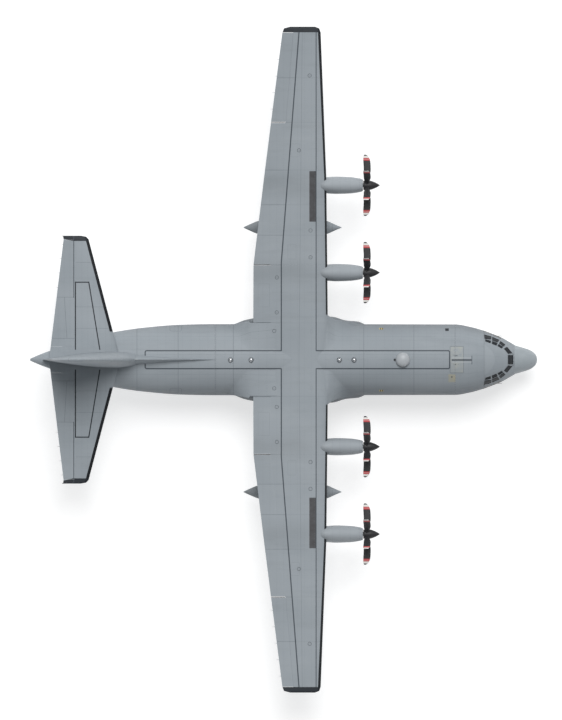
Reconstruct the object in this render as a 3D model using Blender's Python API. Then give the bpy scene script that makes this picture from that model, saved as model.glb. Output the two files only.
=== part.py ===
"""Four-engined military transport aircraft, built as a model at half its real size.

The aircraft stands on its wheels, nose towards +X, left wing towards +Y, +Z up. Every length
below is a real one, in metres at full size, and MODEL_SCALE makes the model from it.
"""

import math

import bmesh
import bpy
from mathutils import Vector

MODEL_SCALE = 0.5

# Gaps
SEAT = 0.0006          # between two pieces that touch
RUN = 0.016            # round a piece that moves

# Fuselage
WALL = 0.12            # outer skin, frames and lining together
NOSE_JOINT = 10.40     # where the nose section meets the centre fuselage
TAIL_JOINT = -4.15     # where the centre fuselage meets the aft fuselage
TAIL_END = -15.38
RADOME_JOINT = 14.02
RADOME_END = 15.38
PAST_SKIN = 2.3        # further out than the fuselage's side anywhere
INSIDE_FRONT = 13.95   # front and rear ends of the hollow
INSIDE_REAR = -13.40
FLOOR_TOP = 1.03       # cargo floor above the ground
FLOOR_DEPTH = 0.24
RAMP_HALF = 1.45
RAMP_HINGE_HEIGHT = 0.62
RAMP_FOOT = -7.30      # where the ramp's rear face meets the outer skin
RAMP_FOOT_HEIGHT = 1.55
RAMP_LEAN = 0.387      # the rear face leans forward by this much per metre of height
RAMP_TOP = 1.97
CARGO_DOOR_REAR = -10.55
CARGO_DOOR_HALF = 1.05    # at the rear end
CARGO_DOOR_BEND = -8.6    # the sides close in behind here
CARGO_DOOR_SHELL = 0.18
CARGO_DOOR_TOP = 3.27
CREW_DOOR = (9.20, 10.0, 0.98, 2.62)          # rear, front, bottom, top
PARATROOP_DOOR = (-4.02, -3.14, 1.06, 2.86)
NOSE_BAY = (11.10, 13.05, 0.78, 1.70)         # rear, front, half width, top
NOSE_BAY_WALL = 0.04
DECK_TOP = 2.12        # flight deck above the ground
ROUND_STEPS = 24       # points round a fuselage section
BELLY_POWER = 2.6      # flatness of the belly: 2 is an ellipse

# Wing
WING_HEIGHT = 4.55     # chord plane at the centre line
DIHEDRAL = math.radians(2.5)
WING_JOINT = 5.75      # outer wing meets the centre wing
WING_TIP = 20.20
FLAP_INNER = 2.26
FLAP_OUTER = 14.36
AILERON_INNER = 14.42
AILERON_OUTER = 19.84
FLAP_DROP = 0.70       # the flaps' turning axis lies this far below their noses

# Landing gear
MAIN_WHEEL_X = (1.71, 0.19)
MAIN_WHEEL_Y = 2.175
MAIN_TYRE_RADIUS = 0.71
MAIN_TYRE_WIDTH = 0.51
NOSE_WHEEL_X = 12.20
NOSE_WHEEL_Y = 0.27
NOSE_TYRE_RADIUS = 0.495
NOSE_TYRE_WIDTH = 0.33
WHEEL_STEPS = 20       # points round a wheel

# Engines, counted from the left wing tip
ENGINE_Y = (10.58, 5.28, -5.28, -10.58)
HUB_DROP = 0.73        # propeller shaft below the wing's chord plane
PROP_X = 5.04
SPINNER_BACK = 4.83
SPINNER_TIP = 5.82
SPINNER_RADIUS = 0.30
BLADES = 6

# Tail
TAILPLANE_HEIGHT = 4.98
TAIL_SKIN = 0.05       # walls of the hollow tailplane and fin
ELEVATOR_HINGE = -12.75
ELEVATOR_INNER = 0.80
ELEVATOR_OUTER = 7.26
RUDDER_FOOT = 5.30
RUDDER_HEAD = 11.56

# Fuselage sections: station, half width, belly, crown, height of the widest line
HULL = (
    (-15.38, 0.06, 4.34, 4.46, 4.40),
    (-14.90, 0.27, 4.18, 4.66, 4.42),
    (-14.17, 0.55, 3.98, 4.80, 4.38),
    (-12.30, 1.14, 3.48, 4.86, 4.12),
    (-10.25, 1.68, 2.80, 4.88, 3.72),
    (-8.40, 1.95, 2.02, 4.91, 3.34),
    (-6.24, 2.12, 1.24, 4.92, 2.98),
    (-4.15, 2.16, 0.63, 4.92, 2.77),
    (10.40, 2.14, 0.65, 4.91, 2.77),
    (11.32, 1.99, 0.71, 4.78, 2.70),
    (11.92, 1.83, 0.77, 4.60, 2.62),
    (12.55, 1.61, 0.86, 4.34, 2.52),
    (13.30, 1.30, 1.03, 3.88, 2.36),
    (13.67, 1.09, 1.16, 3.52, 2.26),
    (14.02, 0.886, 1.32, 3.02, 2.16),
)
RADOME = (
    (14.02, 0.875, 1.33, 3.00, 2.16),
    (14.41, 0.765, 1.43, 2.86, 2.15),
    (14.96, 0.575, 1.64, 2.66, 2.15),
    (15.26, 0.350, 1.86, 2.46, 2.16),
    (15.35, 0.190, 2.00, 2.33, 2.17),
    (15.38, 0.070, 2.10, 2.24, 2.17),
)

# Wheel fairing sections: station, outer half width, bottom, top
SPONSON = (
    (-3.06, 2.12, 1.30, 2.10),
    (-2.24, 2.42, 0.74, 2.42),
    (-1.00, 2.60, 0.60, 2.60),
    (2.90, 2.60, 0.60, 2.60),
    (3.80, 2.37, 0.70, 2.52),
    (4.55, 2.30, 0.94, 2.40),
    (4.95, 2.12, 1.30, 2.10),
)
WELL_REAR = -0.66      # main wheel well
WELL_FRONT = 2.56
WELL_INNER = 1.62
WELL_OUTER = 2.50
WELL_TOP = 1.50
# A main gear door hangs open from the fairing's lower edge: outline across the aircraft, y and z
GEAR_DOOR = ((2.505, 0.6729), (2.545, 0.6964), (2.60, 0.28), (2.56, 0.27))

# Lifting surfaces: span station, leading edge, trailing edge, greatest thickness
WING = (
    (0.00, 2.70, -1.85, 0.82),
    (5.75, 2.65, -1.83, 0.78),
    (11.04, 2.59, -1.19, 0.60),
    (19.84, 2.25, -0.08, 0.28),
    (20.10, 2.16, 0.02, 0.20),
    (20.20, 1.90, 0.40, 0.08),
)
TAILPLANE = (
    (0.00, -9.91, -14.23, 0.50),
    (7.30, -11.83, -13.35, 0.20),
    (7.46, -11.98, -13.38, 0.12),
    (7.52, -12.30, -13.45, 0.05),
)
FIN = (
    (4.50, -8.55, -14.62, 1.00),
    (5.20, -8.82, -14.58, 0.98),
    (11.60, -11.85, -14.02, 0.28),
    (11.78, -12.02, -13.98, 0.16),
    (11.84, -12.40, -13.85, 0.06),
)
# Nose centres of the moving surfaces: span station, x
WING_HINGE = ((0.0, -0.78), (5.75, -0.78), (14.42, 0.09), (19.84, 0.55))
RUDDER_HINGE = ((5.20, -13.10), (11.60, -13.28))
FOIL_STOPS = (0.01, 0.05, 0.14, 0.30, 0.48, 0.70, 0.86, 1.0)
EDGE_HALF = 0.008      # half the thickness of a trailing edge
NOSE_STEP = 30         # degrees between the points of a moving surface's round nose

# Engine nacelle sections: station, half width, bottom and top from the propeller shaft
NACELLE = (
    (4.81, 0.36, -0.62, 0.36),
    (4.60, 0.42, -0.74, 0.43),
    (4.00, 0.50, -0.82, 0.60),
    (3.20, 0.525, -0.80, 0.86),
    (2.60, 0.49, -0.72, 1.00),
    (2.15, 0.44, -0.62, 1.03),
    (1.20, 0.34, -0.36, 0.96),
    (0.20, 0.20, -0.02, 0.70),
    (-0.30, 0.06, 0.24, 0.50),
)
ENGINE_BOX = (2.95, 4.50, 0.27, -0.42, 0.22)    # rear, front, half width, bottom, top
SHAFT_RADIUS = 0.13

# Wing tank profile: station, radius
TANK = (
    (3.51, 0.02), (3.30, 0.17), (2.95, 0.34), (2.55, 0.44), (1.90, 0.50), (-0.50, 0.50),
    (-1.30, 0.44), (-1.85, 0.30), (-2.25, 0.13), (-2.43, 0.02),
)
TANK_Y = 8.02
TANK_HEIGHT = 3.45

# Propeller blade: radius, chord, thickness, sweep of the chord's middle
BLADE = (
    (0.16, 0.20, 0.13, 0.00),
    (0.50, 0.30, 0.10, 0.02),
    (0.95, 0.43, 0.07, 0.03),
    (1.40, 0.43, 0.05, 0.01),
    (1.74, 0.32, 0.035, -0.05),
    (1.86, 0.12, 0.02, -0.10),
)

# Colours: red, green, blue, roughness, metallic
SKIN = (0.33, 0.36, 0.39, 0.55, 0.0)
BLACK = (0.02, 0.02, 0.022, 0.5, 0.0)
RUBBER = (0.025, 0.025, 0.026, 0.85, 0.0)
WHITE = (0.72, 0.73, 0.72, 0.4, 0.0)
STEEL = (0.55, 0.56, 0.58, 0.3, 0.9)
INSIDE = (0.42, 0.44, 0.40, 0.7, 0.0)
GLASS = (0.03, 0.05, 0.07, 0.08, 0.0)


# Helpers

def clear_scene():
    for thing in list(bpy.data.objects):
        bpy.data.objects.remove(thing, do_unlink=True)


def finish(name, colour):
    red, green, blue, roughness, metallic = colour
    material = bpy.data.materials.new(name + "_finish")
    material.use_nodes = True
    shader = material.node_tree.nodes["Principled BSDF"]
    shader.inputs["Base Color"].default_value = (red, green, blue, 1.0)
    shader.inputs["Roughness"].default_value = roughness
    shader.inputs["Metallic"].default_value = metallic
    return material


def add(name, bm, colour, pivot=(0, 0, 0)):
    """Make a model-size object of a full-size mesh, its origin on the pivot."""
    bmesh.ops.translate(bm, verts=bm.verts, vec=-Vector(pivot))
    bmesh.ops.scale(bm, verts=bm.verts, vec=(MODEL_SCALE,) * 3)
    mesh = bpy.data.meshes.new(name)
    bm.to_mesh(mesh)
    bm.free()
    mesh.shade_smooth()
    mesh.set_sharp_from_angle(angle=math.radians(35))
    piece = bpy.data.objects.new(name, mesh)
    piece.location = Vector(pivot) * MODEL_SCALE
    bpy.context.collection.objects.link(piece)
    mesh.materials.append(finish(name, colour))
    return piece


def cutter(name, bm):
    """A shape that only cuts others, so it stays out of the model."""
    piece = add("cut_" + name, bm, WHITE)
    piece.hide_render = True
    piece.display_type = "WIRE"
    return piece


def carve(piece, tool, operation="DIFFERENCE"):
    change = piece.modifiers.new(operation.lower() + "_" + tool.name, "BOOLEAN")
    change.operation = operation
    change.solver = "EXACT"
    change.object = tool


def loft(rings, closed=False):
    """Solid through rings of points. Closed joins the last ring to the first."""
    bm = bmesh.new()
    loops = [[bm.verts.new(point) for point in ring] for ring in rings]
    count = len(loops[0])
    pairs = list(zip(loops, loops[1:]))
    if closed:
        pairs.append((loops[-1], loops[0]))
    else:
        bm.faces.new(loops[0])
        bm.faces.new(loops[-1])
    for first, second in pairs:
        for i in range(count):
            j = (i + 1) % count
            bm.faces.new((first[i], first[j], second[j]))
            bm.faces.new((first[i], second[j], second[i]))
    bmesh.ops.recalc_face_normals(bm, faces=bm.faces)
    return bm


def merged(*parts):
    """Several meshes in one, for cutters whose solids don't touch."""
    whole = bmesh.new()
    for bm in parts:
        mesh = bpy.data.meshes.new("part")
        bm.to_mesh(mesh)
        bm.free()
        whole.from_mesh(mesh)
        bpy.data.meshes.remove(mesh)
    return whole


def on_axis(axis, along, u, v):
    """A point from its place along an axis and its two other coordinates in order."""
    if axis == "x":
        return (along, u, v)
    if axis == "y":
        return (u, along, v)
    return (u, v, along)


def prism(axis, low, high, outline):
    rings = [[on_axis(axis, along, u, v) for u, v in outline] for along in (low, high)]
    return loft(rings)


def box(x0, x1, y0, y1, z0, z1):
    return prism("z", z0, z1, ((x0, y0), (x1, y0), (x1, y1), (x0, y1)))


def circle(axis, along, centre, radius, steps):
    turns = [2 * math.pi * i / steps for i in range(steps)]
    return [on_axis(axis, along, centre[0] + radius * math.cos(turn), centre[1] + radius * math.sin(turn))
            for turn in turns]


def turned(axis, centre, profile, steps=20, closed=False):
    """Solid of revolution. The profile is (along, radius) points."""
    rings = [circle(axis, along, centre, radius, steps) for along, radius in profile]
    return loft(rings, closed)


def between(table, key):
    """Row of a table at a key, on straight lines between its rows."""
    rows = sorted(table)
    key = min(max(key, rows[0][0]), rows[-1][0])
    for low, high in zip(rows, rows[1:]):
        if key <= high[0]:
            share = (key - low[0]) / (high[0] - low[0])
            return [a + (b - a) * share for a, b in zip(low[1:], high[1:])]
    return list(rows[-1][1:])


def stations(table, low, high):
    inside = sorted(row[0] for row in table if low + 0.01 < row[0] < high - 0.01)
    return [low] + inside + [high]


def oval_ring(x, y, half, bottom, top, widest, steps, power=2.0):
    """Section of a body: an ellipse above its widest line, a fuller curve below it."""
    ring = []
    for i in range(steps):
        turn = 2 * math.pi * i / steps
        side = math.sin(turn)
        rise = math.cos(turn)
        bend = 1.0 if rise >= 0 else 2.0 / power
        reach = math.copysign(abs(side) ** bend, side)
        lift = abs(rise) ** bend
        height = widest + (top - widest) * lift if rise >= 0 else widest - (widest - bottom) * lift
        ring.append((x, y + half * reach, height))
    return ring


def hull_ring(x, inset=0.0, table=HULL):
    half, belly, crown, widest = between(table, x)
    return oval_ring(x, 0, half - inset, belly + inset, crown - inset, widest, ROUND_STEPS, BELLY_POWER)


def hull_body(low, high, inset=0.0, table=HULL):
    return loft([hull_ring(x, inset, table) for x in stations(table, low, high)])


def foil_half(share, thickness):
    """Half thickness of a wing section at a share of its chord."""
    curve = 0.2969 * math.sqrt(share) - 0.126 * share - 0.3516 * share ** 2
    curve += 0.2843 * share ** 3 - 0.1036 * share ** 4
    return max(5 * thickness * curve, EDGE_HALF)


def foil_ring(table, span, place, grow=0.0):
    """Whole wing section at a span station."""
    lead, trail, thickness = between(table, span)
    lead += grow
    trail -= grow
    chord = lead - trail
    upper = [(lead - chord * stop, foil_half(stop, thickness) + grow) for stop in FOIL_STOPS]
    lower = [(x, -rise) for x, rise in reversed(upper)]
    return [place(x, rise, span) for x, rise in [(lead, 0.0)] + upper + lower]


def foil_at(table, span, x):
    lead, trail, thickness = between(table, span)
    return foil_half((lead - x) / (lead - trail), thickness)


def control_ring(table, span, hinge, place):
    """Section of a moving surface: a round nose about its hinge, then the rear of the wing section."""
    lead, trail, thickness = between(table, span)
    radius = foil_at(table, span, hinge)
    stops = [(hinge - (hinge - trail) * share) for share in (0.33, 0.66, 1.0)]
    upper = [(x, foil_at(table, span, x)) for x in stops]
    lower = [(x, -rise) for x, rise in reversed(upper)]
    nose = [(hinge + radius * math.cos(turn), radius * math.sin(turn))
            for turn in (math.radians(step) for step in range(-90, 91, NOSE_STEP))]
    return [place(x, rise, span) for x, rise in upper + lower + nose]


def cove_ring(table, span, hinge, place, gap, reach=1.2):
    """Section of the space that a moving surface takes out of the wing."""
    trail = between(table, span)[1]
    radius = foil_at(table, span, hinge) + gap
    if gap > SEAT:
        radius /= math.cos(math.radians(NOSE_STEP / 2))    # so the flat faces clear a nose that turns
    nose = [(hinge + radius * math.cos(turn), radius * math.sin(turn))
            for turn in (math.radians(step) for step in range(-90, 91, NOSE_STEP))]
    behind = [(hinge, reach), (trail - 1.0, reach), (trail - 1.0, -reach), (hinge, -reach)]
    return [place(x, rise, span) for x, rise in nose + behind]


def hollow_ring(table, span, place, front, rear, skin):
    """Section of a hollow inside a lifting surface, between two places along the chord."""
    places = [front + (rear - front) * share for share in (0, 0.25, 0.6, 1.0)]
    upper = [(x, foil_at(table, span, x) - skin) for x in places]
    lower = [(x, -rise) for x, rise in reversed(upper)]
    return [place(x, rise, span) for x, rise in upper + lower]


def wing_plane(span):
    return WING_HEIGHT + abs(span) * math.tan(DIHEDRAL)


def wing_place(side):
    return lambda x, rise, span: (x, side * span, wing_plane(span) + rise)


def tail_place(side):
    return lambda x, rise, span: (x, side * span, TAILPLANE_HEIGHT + rise)


def fin_place(x, rise, span):
    return (x, rise, span)


def at_line(line, span):
    return between(line, span)[0]


# Fuselage

def make_fuselage():
    clear_scene()
    inside = cutter("inside", hull_body(INSIDE_REAR, INSIDE_FRONT, WALL))
    floor_trim = cutter("floor_trim", hull_body(INSIDE_REAR, INSIDE_FRONT, WALL + SEAT))
    outside = cutter("outside", hull_body(TAIL_END, RADOME_JOINT, -SEAT))
    wing_trim = cutter("wing_trim", wing_body(-WING_JOINT, WING_JOINT, SEAT))

    nose = add("nose_section", hull_body(NOSE_JOINT + SEAT, RADOME_JOINT), SKIN)
    centre = add("centre_fuselage", hull_body(TAIL_JOINT + SEAT, NOSE_JOINT), SKIN)
    aft = add("aft_fuselage", hull_body(TAIL_END, TAIL_JOINT), SKIN)
    add("radome", hull_body(RADOME_JOINT + SEAT, RADOME_END, 0, RADOME), SKIN)

    for side, label in ((1, "left"), (-1, "right")):
        sponson = cutter("sponson_" + label, sponson_body(side))
        carve(sponson, cutter("wheel_well_" + label, well_body(side)))
        carve(centre, sponson, "UNION")
    for piece in (nose, centre, aft):
        carve(piece, inside)
    carve(centre, wing_trim)
    cut_windows(nose)
    make_doors(centre, aft, floor_trim)
    make_inside(nose, floor_trim)
    return outside


def sponson_ring(x, side):
    half, bottom, top = between(SPONSON, x)
    height = top - bottom
    outline = (
        (1.30, bottom + 0.36 * height), (1.42, bottom + 0.02), (half - 0.22, bottom),
        (half - 0.05, bottom + 0.05 * height), (half, bottom + 0.18 * height),
        (half, bottom + 0.55 * height), (half - 0.10, bottom + 0.80 * height),
        (half - 0.30, top - 0.04), (1.62, top), (1.40, bottom + 0.60 * height),
    )
    return [(x, side * y, z) for y, z in outline]


def sponson_body(side):
    return loft([sponson_ring(row[0], side) for row in SPONSON])


def well_body(side):
    low, high = sorted((side * WELL_INNER, side * WELL_OUTER))
    return box(WELL_REAR, WELL_FRONT, low, high, 0.0, WELL_TOP)


def cut_windows(nose):
    """The panes' outlines are (x, y) as seen from above, on the left side."""
    outer = (
        ((12.16, 1.52), (12.59, 1.41), (12.58, 1.23), (12.21, 1.26)),
        ((12.66, 1.38), (13.08, 1.20), (12.98, 1.05), (12.66, 1.165)),
        ((13.15, 1.13), (13.45, 0.915), (13.33, 0.785), (13.08, 0.985)),
    )
    brow = (
        ((12.23, 1.20), (12.57, 1.10), (12.55, 1.00), (12.26, 1.10)),
        ((12.66, 1.07), (12.97, 0.98), (12.90, 0.855), (12.64, 0.965)),
    )
    front = (((13.56, 0.77), (13.87, 0.39), (13.61, 0.335), (13.37, 0.665)),)
    centre = ((13.61, 0.29), (13.93, 0.29), (13.93, -0.29), (13.61, -0.29))
    panes = [prism("z", 2.7, 5.2, centre)]
    for outline in outer + brow + front:
        for side in (1, -1):
            panes.append(prism("z", 2.7, 5.2, [(x, side * y) for x, y in outline]))
    carve(nose, cutter("upper_panes", merged(*panes)))
    # the low side panes, below the main row
    low = [((12.10, 2.62), (12.62, 2.62), (12.62, 3.06), (12.18, 3.06)),
           ((12.72, 2.62), (13.20, 2.62), (13.14, 2.98), (12.72, 3.06))]
    carve(nose, cutter("low_panes", merged(*[prism("y", -PAST_SKIN, PAST_SKIN, outline) for outline in low])))


def ramp_face(height, gap=0.0):
    """Where the ramp's rear face is at a height, or a gap behind it."""
    return RAMP_FOOT + (height - RAMP_FOOT_HEIGHT) * RAMP_LEAN - gap


def make_doors(centre, aft, floor_trim):
    # Ramp and cargo door, which together make the underside of the tail
    ramp_front = TAIL_JOINT - SEAT
    ramp = add("cargo_ramp", hull_body(-8.4, ramp_front), SKIN, (ramp_front, 0, RAMP_HINGE_HEIGHT))
    side_shape = ((ramp_front, 0.0), (ramp_front, FLOOR_TOP), (ramp_face(RAMP_TOP), RAMP_TOP),
                  (ramp_face(0.0), 0.0))
    carve(ramp, cutter("ramp_shape", prism("y", -RAMP_HALF, RAMP_HALF, side_shape)), "INTERSECT")

    door = add("cargo_door", hull_body(-11.2, -6.9), SKIN, (CARGO_DOOR_REAR, 0, 3.32))
    carve(door, cutter("door_inside", hull_body(-11.4, -6.8, CARGO_DOOR_SHELL)))
    plan = ((-6.6, RAMP_HALF), (CARGO_DOOR_BEND, RAMP_HALF), (CARGO_DOOR_REAR, CARGO_DOOR_HALF),
            (CARGO_DOOR_REAR, -CARGO_DOOR_HALF), (CARGO_DOOR_BEND, -RAMP_HALF), (-6.6, -RAMP_HALF))
    carve(door, cutter("door_plan", prism("z", 1.0, CARGO_DOOR_TOP, plan)), "INTERSECT")
    gap = 0.03
    ahead = ((ramp_face(0.0, gap), 0.0), (ramp_face(5.0, gap), 5.0), (-3.0, 5.0), (-3.0, 0.0))
    carve(door, cutter("door_front", prism("y", -3, 3, ahead)))

    # the opening has the door's outline, wider by the running gap, and goes on to the front joint
    side, end, rear, front = RAMP_HALF + RUN, CARGO_DOOR_HALF + RUN, CARGO_DOOR_REAR - SEAT, TAIL_JOINT + 0.1
    opening = ((front, side), (CARGO_DOOR_BEND, side), (rear, end), (rear, -end), (CARGO_DOOR_BEND, -side),
               (front, -side))
    carve(aft, cutter("tail_opening", prism("z", 0.0, 3.36, opening)))

    # Crew door, hinged along its sill on the left
    rear, front, bottom, top = CREW_DOOR
    crew = add("crew_door", hull_body(9.0, 10.3), SKIN, ((rear + front) / 2, 1.47, bottom + 0.005))
    carve(crew, cutter("crew_inside", hull_body(8.9, 10.4, WALL)))
    carve(crew, cutter("crew_shape", box(rear, front, 1.2, 2.4, bottom, top)), "INTERSECT")
    carve(centre, cutter("crew_opening", box(rear - RUN, front + RUN, 1.2, 2.4, bottom - RUN, top + RUN)))

    # Paratroop doors, one a side
    rear, front, bottom, top = PARATROOP_DOOR
    for side, label in ((1, "left"), (-1, "right")):
        low, high = sorted((side * 1.2, side * 2.4))
        door = add("paratroop_door_" + label, hull_body(-4.14, -3.0), SKIN)
        carve(door, cutter("paratroop_inside_" + label, hull_body(-4.2, -2.9, WALL)))
        carve(door, cutter("paratroop_shape_" + label, box(rear, front, low, high, bottom, top)), "INTERSECT")
        hole = box(rear - SEAT, front + SEAT, low, high, bottom - SEAT, top + SEAT)
        carve(centre, cutter("paratroop_opening_" + label, hole))

    floor = add("cargo_floor", box(TAIL_JOINT + SEAT, NOSE_JOINT - SEAT, -PAST_SKIN, PAST_SKIN,
                                   FLOOR_TOP - FLOOR_DEPTH, FLOOR_TOP), INSIDE)
    carve(floor, floor_trim, "INTERSECT")


def make_inside(nose, floor_trim):
    rear, front, half, top = NOSE_BAY
    wall = NOSE_BAY_WALL
    carve(nose, cutter("nose_bay_opening", box(rear, front, -half, half, 0.0, 1.30)))
    cover = add("nose_gear_bay", box(rear - wall, front + wall, -half - wall, half + wall, 0.7, top), INSIDE)
    carve(cover, cutter("nose_bay_space", box(rear, front, -half, half, 0.0, top - wall)))
    carve(cover, floor_trim, "INTERSECT")

    # Flight deck: floor, rear bulkhead, panel, pedestal and two seats, in one piece
    back = NOSE_JOINT + 0.02
    sunk = DECK_TOP - 0.07        # what stands on the deck starts inside its floor
    deck = add("flight_deck", box(back, 13.45, -PAST_SKIN, PAST_SKIN, DECK_TOP - 0.12, DECK_TOP), INSIDE)
    bulkhead = box(back, back + 0.08, -PAST_SKIN, PAST_SKIN, DECK_TOP - 0.05, 5.0)
    carve(deck, cutter("bulkhead", bulkhead), "UNION")
    panel = ((13.00, sunk), (13.40, sunk), (13.40, 2.86), (13.10, 2.92), (12.92, 2.70))
    carve(deck, cutter("panel", prism("y", -0.86, 0.86, panel)), "UNION")
    carve(deck, cutter("pedestal", box(12.30, 13.05, -0.18, 0.18, sunk, 2.62)), "UNION")
    seat = ((11.70, sunk), (12.10, sunk), (12.12, 2.50), (12.26, 2.52), (12.26, 2.64), (11.86, 2.62),
            (11.72, 3.36), (11.60, 3.34), (11.66, 2.55))
    for side, label in ((0.72, "left"), (-0.72, "right")):
        carve(deck, cutter("seat_" + label, prism("y", side - 0.24, side + 0.24, seat)), "UNION")
    carve(deck, floor_trim, "INTERSECT")

    # Glass: one thin shell behind the panes
    glass = add("cockpit_glass", hull_body(11.32, INSIDE_FRONT, WALL + SEAT), GLASS)
    carve(glass, cutter("glass_inside", hull_body(11.32, INSIDE_FRONT, WALL + SEAT + 0.03)))
    carve(glass, cutter("glass_span", box(11.95, 13.90, -PAST_SKIN, PAST_SKIN, 2.56, 5.0)), "INTERSECT")


# Wing

def wing_body(low, high, grow=0.0):
    """Wing solid from one span station to another, negative ones on the right."""
    spans = sorted({low, high} | {s for row in WING for s in (row[0], -row[0]) if low < s < high})
    rings = []
    for span in spans:
        side = 1 if span >= 0 else -1
        rings.append(foil_ring(WING, abs(span), wing_place(side), grow))
    return loft(rings)


def surface(name, table, hinge, low, high, place, colour, pivot):
    """A moving surface between two span stations, as a solid about its hinge."""
    rings = [control_ring(table, span, at_line(hinge, span), place) for span in stations(table, low, high)]
    return add(name, loft(rings), colour, pivot)


def cove(name, table, hinge, low, high, place, gap=RUN):
    rings = [cove_ring(table, span, at_line(hinge, span), place, gap) for span in stations(table, low, high)]
    return cutter(name, loft(rings))


def rod(start, end, radius, steps=10):
    """Round bar from one point to another."""
    start = Vector(start)
    end = Vector(end)
    turn = (end - start).to_track_quat("Z", "Y")
    rings = []
    for centre in (start, end):
        ring = [(radius * math.cos(2 * math.pi * i / steps), radius * math.sin(2 * math.pi * i / steps), 0)
                for i in range(steps)]
        rings.append([centre + turn @ Vector(point) for point in ring])
    return loft(rings)


def make_wing():
    centre = add("wing_centre", wing_body(-WING_JOINT, WING_JOINT), SKIN)
    for side, label in ((1, "left"), (-1, "right")):
        place = wing_place(side)
        low, high = sorted((side * (WING_JOINT + SEAT), side * WING_TIP))
        outer = add("wing_outer_" + label, wing_body(low, high), SKIN)
        # a flap's nose rests in its cove and leaves it as the flap lowers, so it needs no running gap
        carve(centre, cove("inner_cove_" + label, WING, WING_HINGE, FLAP_INNER - RUN, WING_JOINT + 0.1,
                           place, SEAT))
        rib = 0.5 * (FLAP_OUTER + AILERON_INNER)
        carve(outer, cove("flap_cove_" + label, WING, WING_HINGE, WING_JOINT - 0.1, rib, place, SEAT))
        carve(outer, cove("aileron_cove_" + label, WING, WING_HINGE, rib - 0.01, AILERON_OUTER + RUN, place))
        inner_end = WING_JOINT - 0.03
        outer_end = WING_JOINT + 0.03
        drop = (0, 0, -FLAP_DROP)
        inner_pivot = Vector(place(at_line(WING_HINGE, inner_end), 0, inner_end)) + Vector(drop)
        outer_pivot = Vector(place(at_line(WING_HINGE, outer_end), 0, outer_end)) + Vector(drop)
        surface("flap_inner_" + label, WING, WING_HINGE, FLAP_INNER, inner_end, place, SKIN, inner_pivot)
        surface("flap_outer_" + label, WING, WING_HINGE, outer_end, FLAP_OUTER, place, SKIN, outer_pivot)
        start = AILERON_INNER + RUN
        pivot = place(at_line(WING_HINGE, start), 0, start)
        aileron = surface("aileron_" + label, WING, WING_HINGE, start, AILERON_OUTER, place, SKIN, pivot)
        pin_ends = (AILERON_OUTER - 0.1, AILERON_OUTER + RUN - 0.0025)
        pin = [place(at_line(WING_HINGE, span), 0, span) for span in pin_ends]
        carve(aileron, cutter("aileron_pin_" + label, rod(pin[0], pin[1], 0.02)), "UNION")


# Engines and propellers

def nacelle_ring(row, y, hub, inset=0.0):
    x, half, bottom, top = row
    widest = hub + 0.5 * (bottom + top)
    return oval_ring(x, y, half - inset, hub + bottom + inset, hub + top - inset, widest, 16, 2.4)


def blade_ring(row, turn, hub):
    radius, chord, thickness, sweep = row
    out = Vector((0, math.cos(turn), math.sin(turn)))
    across = Vector((0, -math.sin(turn), math.cos(turn)))
    outline = ((0.5, 0), (0.22, 0.5), (-0.25, 0.4), (-0.5, 0), (-0.25, -0.4), (0.22, -0.5))
    middle = Vector((PROP_X + sweep, 0, 0)) + out * radius
    return [Vector(hub) + middle + Vector((chord * u, 0, 0)) + across * (thickness * v) for u, v in outline]


def make_engines(wing_trim):
    for number, y in enumerate(ENGINE_Y, start=1):
        hub = wing_plane(y) - HUB_DROP
        nacelle = add("nacelle_%d" % number, loft([nacelle_ring(row, y, hub) for row in NACELLE]), SKIN)
        rear, front, half, bottom, top = ENGINE_BOX
        margin = 0.05
        room = box(rear - margin, front + margin, y - half - margin, y + half + margin,
                   hub + bottom, hub + top + margin)
        hole = turned("x", (y, hub), ((4.5, 0.20), (4.9, 0.20)), 16)
        intake = box(4.62, 5.0, y - 0.20, y + 0.20, hub - 0.56, hub - 0.34)
        room_cut = cutter("engine_room_%d" % number, room)
        carve(room_cut, cutter("shaft_hole_%d" % number, hole), "UNION")
        carve(nacelle, room_cut)
        carve(nacelle, cutter("intake_%d" % number, intake))
        carve(nacelle, wing_trim)

        engine = add("engine_%d" % number,
                     box(rear, front, y - half, y + half, hub + bottom + SEAT, hub + top), STEEL)
        shaft = turned("x", (y, hub), ((front - 0.1, SHAFT_RADIUS), (SPINNER_BACK - SEAT, SHAFT_RADIUS)), 12)
        carve(engine, cutter("shaft_%d" % number, shaft), "UNION")

        spinner = ((SPINNER_BACK, 0.27), (SPINNER_BACK + 0.10, SPINNER_RADIUS), (5.22, 0.285), (5.50, 0.20),
                   (5.70, 0.10), (SPINNER_TIP, 0.02))
        prop = add("propeller_%d" % number, turned("x", (y, hub), spinner, 12), BLACK, (PROP_X, y, hub))
        for blade in range(BLADES):
            turn = 2 * math.pi * blade / BLADES
            ring_set = [blade_ring(row, turn, (0, y, hub)) for row in BLADE]
            carve(prop, cutter("blade_%d_%d" % (number, blade), loft(ring_set)), "UNION")


def make_tanks(wing_trim):
    for side, label in ((1, "left"), (-1, "right")):
        y = side * TANK_Y
        tank = add("fuel_tank_" + label, turned("x", (y, TANK_HEIGHT), TANK, 16), SKIN)
        outline = ((1.90, -0.02), (1.55, -0.08), (0.15, -0.08), (-0.18, -0.02), (-0.18, 0.02), (0.15, 0.08),
                   (1.55, 0.08), (1.90, 0.02))
        pylon = prism("z", TANK_HEIGHT + 0.30, wing_plane(y), [(x, y + v) for x, v in outline])
        carve(tank, cutter("pylon_" + label, pylon), "UNION")
        carve(tank, wing_trim)


# Landing gear

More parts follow.
